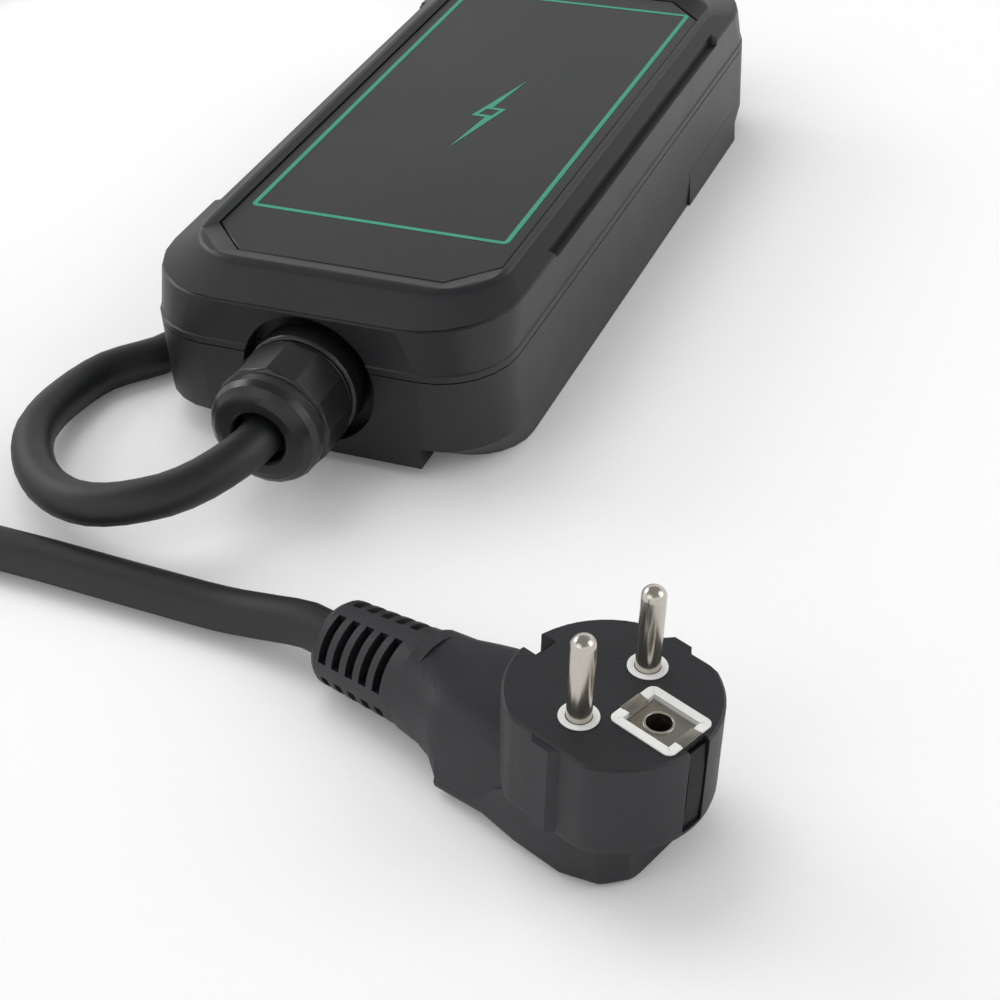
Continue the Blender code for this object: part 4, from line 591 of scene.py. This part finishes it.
class CHARGER_OT_print(bpy.types.Operator):
    """Print the green line and a plain charging mark on the front plate"""
    bl_idname = "charger.print"
    bl_label = "Printed line and mark"

    def execute(self, context):
        layout = context.scene.charger_layout
        ink = green_ink(context.scene.charger_colours.line)
        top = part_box("front_panel")[1][2] + PRINT_LIFT * MM
        clear_selection()
        bpy.ops.mesh.primitive_plane_add(size=1.0, location=(0, 0, top))
        line = bpy.context.object
        line.name = "printed_line"
        line.scale = (2 * layout.frame_half_width, 2 * layout.frame_half_length, 1)
        line.location.y = layout.frame_shift
        write_place()
        edit_all(line)
        bpy.ops.mesh.bevel(offset=LINE_CORNER * MM, segments=5, affect="VERTICES")
        close_edit()
        self.outline(line, layout)
        give(line, ink)
        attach(line, "root")
        clear_selection()
        bpy.ops.mesh.primitive_circle_add(vertices=6, radius=1.0, fill_type="NGON", location=(0, 0, top))
        mark = bpy.context.object
        mark.name = "printed_mark"
        for vertex, (x, y) in zip(mark.data.vertices, MARK_CORNERS):
            vertex.co = (x * MM, y * MM, 0)
        write_place()
        self.outline(mark, layout, MARK_LINE_SHARE)
        give(mark, ink)
        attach(mark, "root")
        return {"FINISHED"}

    def outline(self, thing, layout, share=1.0):
        """Inset a flat face, drop its middle, and raise the border that is left by the ink's height."""
        edit_all(thing)
        bpy.ops.mesh.inset(thickness=layout.line_width * share, use_even_offset=True)
        bpy.ops.mesh.delete(type="FACE")
        bpy.ops.mesh.select_all(action="SELECT")
        bpy.ops.mesh.extrude_region_move(
            TRANSFORM_OT_translate={"value": (0, 0, layout.print_height)})
        bpy.ops.mesh.select_all(action="SELECT")
        bpy.ops.mesh.normals_make_consistent(inside=False)
        close_edit()


class CHARGER_OT_glands(bpy.types.Operator):
    """Finish the two cable glands, their nuts, seals and locknuts"""
    bl_idname = "charger.glands"
    bl_label = "Cable glands"

    def execute(self, context):
        nylon, rubber = gland_nylon(), seal_rubber()
        for side in ("mains", "vehicle"):
            for part in ("gland_body", "gland_nut"):
                give(dressed_copy(f"{side}_{part}", 0.2, 19), nylon)
            give(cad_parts[f"{side}_gland_locknut"], nylon)
            give(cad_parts[f"{side}_gland_seal"], rubber)
        for side in ("left", "right"):
            give(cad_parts[f"seal_strip_{side}"], rubber)
        return {"FINISHED"}


class CHARGER_OT_plug(bpy.types.Operator):
    bl_idname = "charger.plug"
    bl_label = "Earthed plug"

    def execute(self, context):
        white, nickel, spring, shaded = white_insert(), nickel_plate(), spring_metal(), clip_slot_shade()
        inner, outer = WINDOW_NEAR - 0.2, WINDOW_FAR + 0.1
        finished = (
            (dressed_copy("plug_body", 0.4, 34, 3, 28, self.round_heel),
             plug_overmould(context.scene.charger_colours.plug)),
            (dressed_copy("contact_carrier", 0.12), white),
            (dressed_copy("earth_contact", 0.08, 40), spring),
            # painted shade: both earth clips get the near-black finish that stands in for the shadow deep in
            # their slots
            (dressed_copy("earth_clip_front", 0.08, 40), shaded),
            (dressed_copy("earth_clip_rear", 0.08, 40), shaded),
            (self.pin("live_pin", -1), nickel),
            (self.pin("neutral_pin", 1), nickel),
            (self.window(), white),
            (self.collar(-1), white),
            (self.collar(1), white),
            (self.rim(), nickel),
            (self.strip("earth_strip_1", -inner, -inner - 2.4), spring),
            (self.strip("earth_strip_2", -outer, -outer + 2.2), spring),
        )
        for piece, finish in finished:
            give(piece, finish)
        return {"FINISHED"}

    def round_heel(self, piece):
        """Round the flats of the heel under the disc into one smooth moulded end."""
        to_plug = plug_matrix().inverted() @ piece.matrix_world

        def on_ring(ends):
            ends = [to_plug @ (end * MM) / MM for end in ends]
            return any(all(abs(end.y - ring) < 0.08 and end.z < HEEL_TOP for end in ends)
                       for ring in HEEL_RINGS)

        edit_edges(piece, on_ring)
        bpy.ops.mesh.bevel(offset=HEEL_ROUNDING * MM, segments=5, profile=0.5, affect="EDGES",
                           clamp_overlap=True)
        close_edges()

    def pin(self, name, sign):
        """A round contact pin whose tip is bevelled to a dome."""
        clear_selection()
        low, high = FACE_HEIGHT - PIN_ROOT, FACE_HEIGHT + PIN_LENGTH
        bpy.ops.mesh.primitive_cylinder_add(
            vertices=48, radius=PIN_RADIUS * MM, depth=(high - low) * MM,
            location=(sign * PIN_PITCH / 2 * MM, 0, (high + low) / 2 * MM))
        piece = bpy.context.object
        piece.name = f"{name}_round"
        settle(piece, Matrix())
        edit_edges(piece, lambda ends: all(end.z > high - 0.1 for end in ends))
        bpy.ops.mesh.bevel(offset=PIN_DOME * MM, segments=9, profile=0.5, affect="EDGES")
        close_edges()
        bpy.ops.object.shade_smooth_by_angle(angle=radians(SMOOTH_ANGLE))
        settle(piece, face_matrix())
        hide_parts(name)
        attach(piece, "root")
        return piece

    def plate(self, name, radii, centre, top, depth, edge):
        """A flat ring with rounded upper edges, made from a circle that is inset and extruded."""
        clear_selection()
        bpy.ops.mesh.primitive_circle_add(
            vertices=48, radius=radii[0] * MM, fill_type="NGON",
            location=(centre[0] * MM, centre[1] * MM, top * MM))
        piece = bpy.context.object
        piece.name = name
        settle(piece, Matrix())
        self.raise_border(piece, radii[0] - radii[1], depth, edge)
        return piece

    def strip(self, name, start, end):
        """Bent earth strip that lies in one gap of the window and turns down to the contact."""
        clear_selection()
        bpy.ops.mesh.primitive_plane_add(
            size=1.0, location=(0, (start + end) / 2 * MM, STRIP_TOP * MM))
        piece = bpy.context.object
        piece.name = name
        piece.scale = ((WINDOW_GAP - STRIP_PLAY) * MM, abs(end - start) * MM, 1)
        write_place()
        edit_edges(piece, lambda ends: all(abs(corner.y - end) < 0.01 for corner in ends))
        bpy.ops.mesh.extrude_region_move(TRANSFORM_OT_translate={"value": (0, 0, -STRIP_DROP * MM)})
        bpy.ops.mesh.select_all(action="SELECT")
        bpy.ops.mesh.normals_make_consistent(inside=False)
        close_edges()
        sheet = piece.modifiers.new("Sheet", "SOLIDIFY")
        sheet.thickness = STRIP_SHEET * MM
        sheet.offset = 0.0
        bpy.ops.object.modifier_apply(modifier="Sheet")
        round_edges(piece, 0.05, 2, 30)
        bpy.ops.object.shade_smooth_by_angle(angle=radians(SMOOTH_ANGLE))
        settle(piece, face_matrix())
        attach(piece, "root")
        return piece

    def raise_border(self, piece, border, depth, edge, gap=0.0):
        """Inset a flat face, drop its middle, extrude the border down and round its edges."""
        edit_all(piece)
        bpy.ops.mesh.inset(thickness=border * MM, use_even_offset=True)
        bpy.ops.mesh.delete(type="FACE")
        bpy.ops.mesh.select_all(action="SELECT")
        bpy.ops.mesh.extrude_region_move(TRANSFORM_OT_translate={"value": (0, 0, -depth * MM)})
        bpy.ops.mesh.select_all(action="SELECT")
        bpy.ops.mesh.normals_make_consistent(inside=False)
        close_edit()
        if gap:
            self.cut_gap(piece, gap)
        round_edges(piece, edge, 3, 50)
        bpy.ops.object.shade_smooth_by_angle(angle=radians(SMOOTH_ANGLE))
        settle(piece, face_matrix())
        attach(piece, "root")

    def cut_gap(self, piece, gap):
        """Cut a gap of the given width through both ends of a border."""
        clear_selection()
        bpy.ops.mesh.primitive_cube_add(size=1.0, location=(0, -15 * MM, FACE_HEIGHT * MM))
        cutter = bpy.context.object
        cutter.scale = (gap * MM, 40 * MM, 6 * MM)
        write_place()
        make_active(piece)
        cut = piece.modifiers.new("Gap", "BOOLEAN")
        cut.operation = "DIFFERENCE"
        cut.object = cutter
        bpy.ops.object.modifier_apply(modifier="Gap")
        bpy.data.objects.remove(cutter, do_unlink=True)
        make_active(piece)

    def collar(self, sign):
        """White collar round a pin's root, standing a hair above the face."""
        return self.plate(f"pin_collar_{1 if sign < 0 else 2}", COLLAR_RADII, (sign * PIN_PITCH / 2, 0),
                          COLLAR_TOP, 0.27, 0.1)

    def rim(self):
        """Rolled rim round the earth contact's hole."""
        return self.plate("earth_rim", RIM_RADII, (0, -EARTH_OFFSET), RIM_TOP, 0.5, 0.15)

    def window(self):
        """White window frame round the earth contact: rounded corners, and a gap at each end."""
        clear_selection()
        bpy.ops.mesh.primitive_plane_add(
            size=1.0, location=(0, -(WINDOW_NEAR + WINDOW_FAR) / 2 * MM, WINDOW_TOP * MM))
        piece = bpy.context.object
        piece.name = "contact_window"
        piece.scale = (WINDOW_WIDTH * MM, (WINDOW_FAR - WINDOW_NEAR) * MM, 1)
        write_place()
        edit_all(piece)
        bpy.ops.mesh.bevel(offset=WINDOW_CORNER * MM, segments=8, affect="VERTICES")
        close_edit()
        self.raise_border(piece, WINDOW_BORDER, 0.29, 0.08, WINDOW_GAP)
        return piece


class CHARGER_OT_inside(bpy.types.Operator):
    """Finish the screws, the boards and the parts on them"""
    bl_idname = "charger.inside"
    bl_label = "Inner parts"

    def execute(self, context):
        table = (
            (zinc_steel(), ("housing_screw", "board_screw", "indicator_screw")),
            (board_laminate(), ("main_board", "indicator_board")),
            (relay_case(), ("relay",)), (supply_case(), ("power_supply",)),
            (capacitor_sleeve(), ("capacitor",)), (varistor_coat(), ("varistor",)),
            (fuse_ceramic(), ("fuse",)), (core_tape(), ("residual_current_coil",)),
            (terminal_block(), ("input_terminal", "output_terminal")),
            (clear_acrylic(), ("light_guide",)), (lamp_package(), ("led",)),
            (ribbon_jacket(), ("ribbon_cable",)),
            (wire_jacket("earth_insulation", "#5f7d1e", "#86a23a"), ("earth_conductor",)),
            (wire_jacket("live_insulation", "#4a2a17", "#5b3520"), ("live_conductor",)),
            (wire_jacket("neutral_insulation", "#1a4684", "#265a9c"), ("neutral_conductor",)),
        )
        for finish, starts in table:
            for name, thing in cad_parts.items():
                if name.startswith(starts):
                    give(thing, finish)
        return {"FINISHED"}


class CHARGER_OT_stage(bpy.types.Operator):
    """Set the white floor, the soft lamps and the pale world"""
    bl_idname = "charger.stage"
    bl_label = "Studio"

    def execute(self, context):
        self.lay_floor()
        self.hang_lamps(context)
        self.light_world(context)
        context.scene.view_settings.view_transform = "Standard"
        return {"FINISHED"}

    def lay_floor(self):
        """White paper that keeps the shadow, lifted a little where the camera sees it."""
        clear_selection()
        bpy.ops.mesh.primitive_plane_add(size=1.0, location=(0, 0, -FLOOR_DROP))
        floor = bpy.context.object
        floor.name = "studio_floor"
        floor.scale = (FLOOR_SIDE, FLOOR_SIDE, 1.0)
        write_place()
        finish, tree, shader, place = start_material("studio_paper", 0.9)
        tooth = node(tree, "ShaderNodeTexNoise", links={"Vector": place},
                     values={"Scale": 600.0, "Detail": 2.0})
        tone = node(tree, "ShaderNodeMapRange", links={"Value": tooth.outputs["Fac"]},
                    values={"To Min": 0.89, "To Max": 0.91})
        tree.links.new(tone.outputs["Result"], shader.inputs["Base Color"])
        shader.inputs["Specular IOR Level"].default_value = 0.1
        shader.inputs["Emission Color"].default_value = linear("#ffffff")
        path = node(tree, "ShaderNodeLightPath")
        lift = node(tree, "ShaderNodeMath", {"operation": "MULTIPLY"},
                    {0: path.outputs["Is Camera Ray"]}, {1: FLOOR_LIFT})
        tree.links.new(lift.outputs[0], shader.inputs["Emission Strength"])
        give(floor, finish)

    def hang_lamps(self, context):
        """Soft rectangular lamps. The key lamp is kept out of reflections, so that flat tops stay even."""
        for name, place, size, power in LAMPS:
            lamp = bpy.data.lights.new(name, "AREA")
            lamp.shape = "RECTANGLE"
            lamp.size, lamp.size_y = size
            lamp.energy = power * context.scene.charger_layout.lamp_share
            holder = bpy.data.objects.new(name, lamp)
            context.scene.collection.objects.link(holder)
            holder.visible_glossy = name != "key_lamp"
            aim = Vector(LAMP_AIM) - Vector(place)
            holder.matrix_world = (Matrix.Translation(place)
                                   @ aim.to_track_quat("-Z", "Y").to_matrix().to_4x4())

    def light_world(self, context):
        """Pale world: white to the camera, dimmer as a light, and darker overhead in reflections."""
        world = bpy.data.worlds.new("studio_world")
        world.use_nodes = True
        context.scene.world = world
        tree = world.node_tree
        back = tree.nodes["Background"]
        back.inputs["Color"].default_value = linear("#f6f6f6")
        path = node(tree, "ShaderNodeLightPath")
        way = node(tree, "ShaderNodeTexCoord").outputs["Generated"]
        split = node(tree, "ShaderNodeSeparateXYZ", links={"Vector": way})
        dome = node(tree, "ShaderNodeMapRange", {"interpolation_type": "SMOOTHSTEP"},
                    {"Value": split.outputs["Z"]},
                    {"From Min": 0.42, "From Max": 0.63, "To Min": 1.0, "To Max": 0.34})
        shown = node(tree, "ShaderNodeMapRange",
                     links={"Value": path.outputs["Is Glossy Ray"], "To Max": dome.outputs["Result"]},
                     values={"To Min": 0.62})
        level = node(tree, "ShaderNodeMath", {"operation": "MAXIMUM"},
                     {0: path.outputs["Is Camera Ray"], 1: shown.outputs["Result"]})
        tree.links.new(level.outputs[0], back.inputs["Strength"])



class CHARGER_PT_panel(bpy.types.Panel):
    """Lists the steps that dress the charger"""
    bl_label = "Portable charger"
    bl_idname = "CHARGER_PT_panel"
    bl_space_type = "VIEW_3D"
    bl_region_type = "UI"
    bl_category = "Charger"

    def draw(self, context):
        for group in (context.scene.charger_layout, context.scene.charger_colours):
            for key in group.__annotations__:
                self.layout.prop(group, key)
        for step in STEPS:
            self.layout.operator(step.bl_idname)


STEPS = (CHARGER_OT_camera, CHARGER_OT_lead, CHARGER_OT_housing, CHARGER_OT_print, CHARGER_OT_glands,
         CHARGER_OT_plug, CHARGER_OT_inside, CHARGER_OT_stage)
CLASSES = (ChargerLayout, ChargerColours) + STEPS + (CHARGER_PT_panel,)


def register():
    """Register the classes and hang their values on the scene."""
    for item in CLASSES:
        bpy.utils.register_class(item)
    bpy.types.Scene.charger_layout = bpy.props.PointerProperty(type=ChargerLayout)
    bpy.types.Scene.charger_colours = bpy.props.PointerProperty(type=ChargerColours)


def unregister():
    """Undo register."""
    del bpy.types.Scene.charger_colours
    del bpy.types.Scene.charger_layout
    for item in reversed(CLASSES):
        bpy.utils.unregister_class(item)


def main():
    """Run every step in order."""
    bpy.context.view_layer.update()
    register()
    for step in STEPS:
        group, name = step.bl_idname.split(".")
        getattr(getattr(bpy.ops, group), name)()
    clear_selection()


if __name__ == "__main__":
    main()
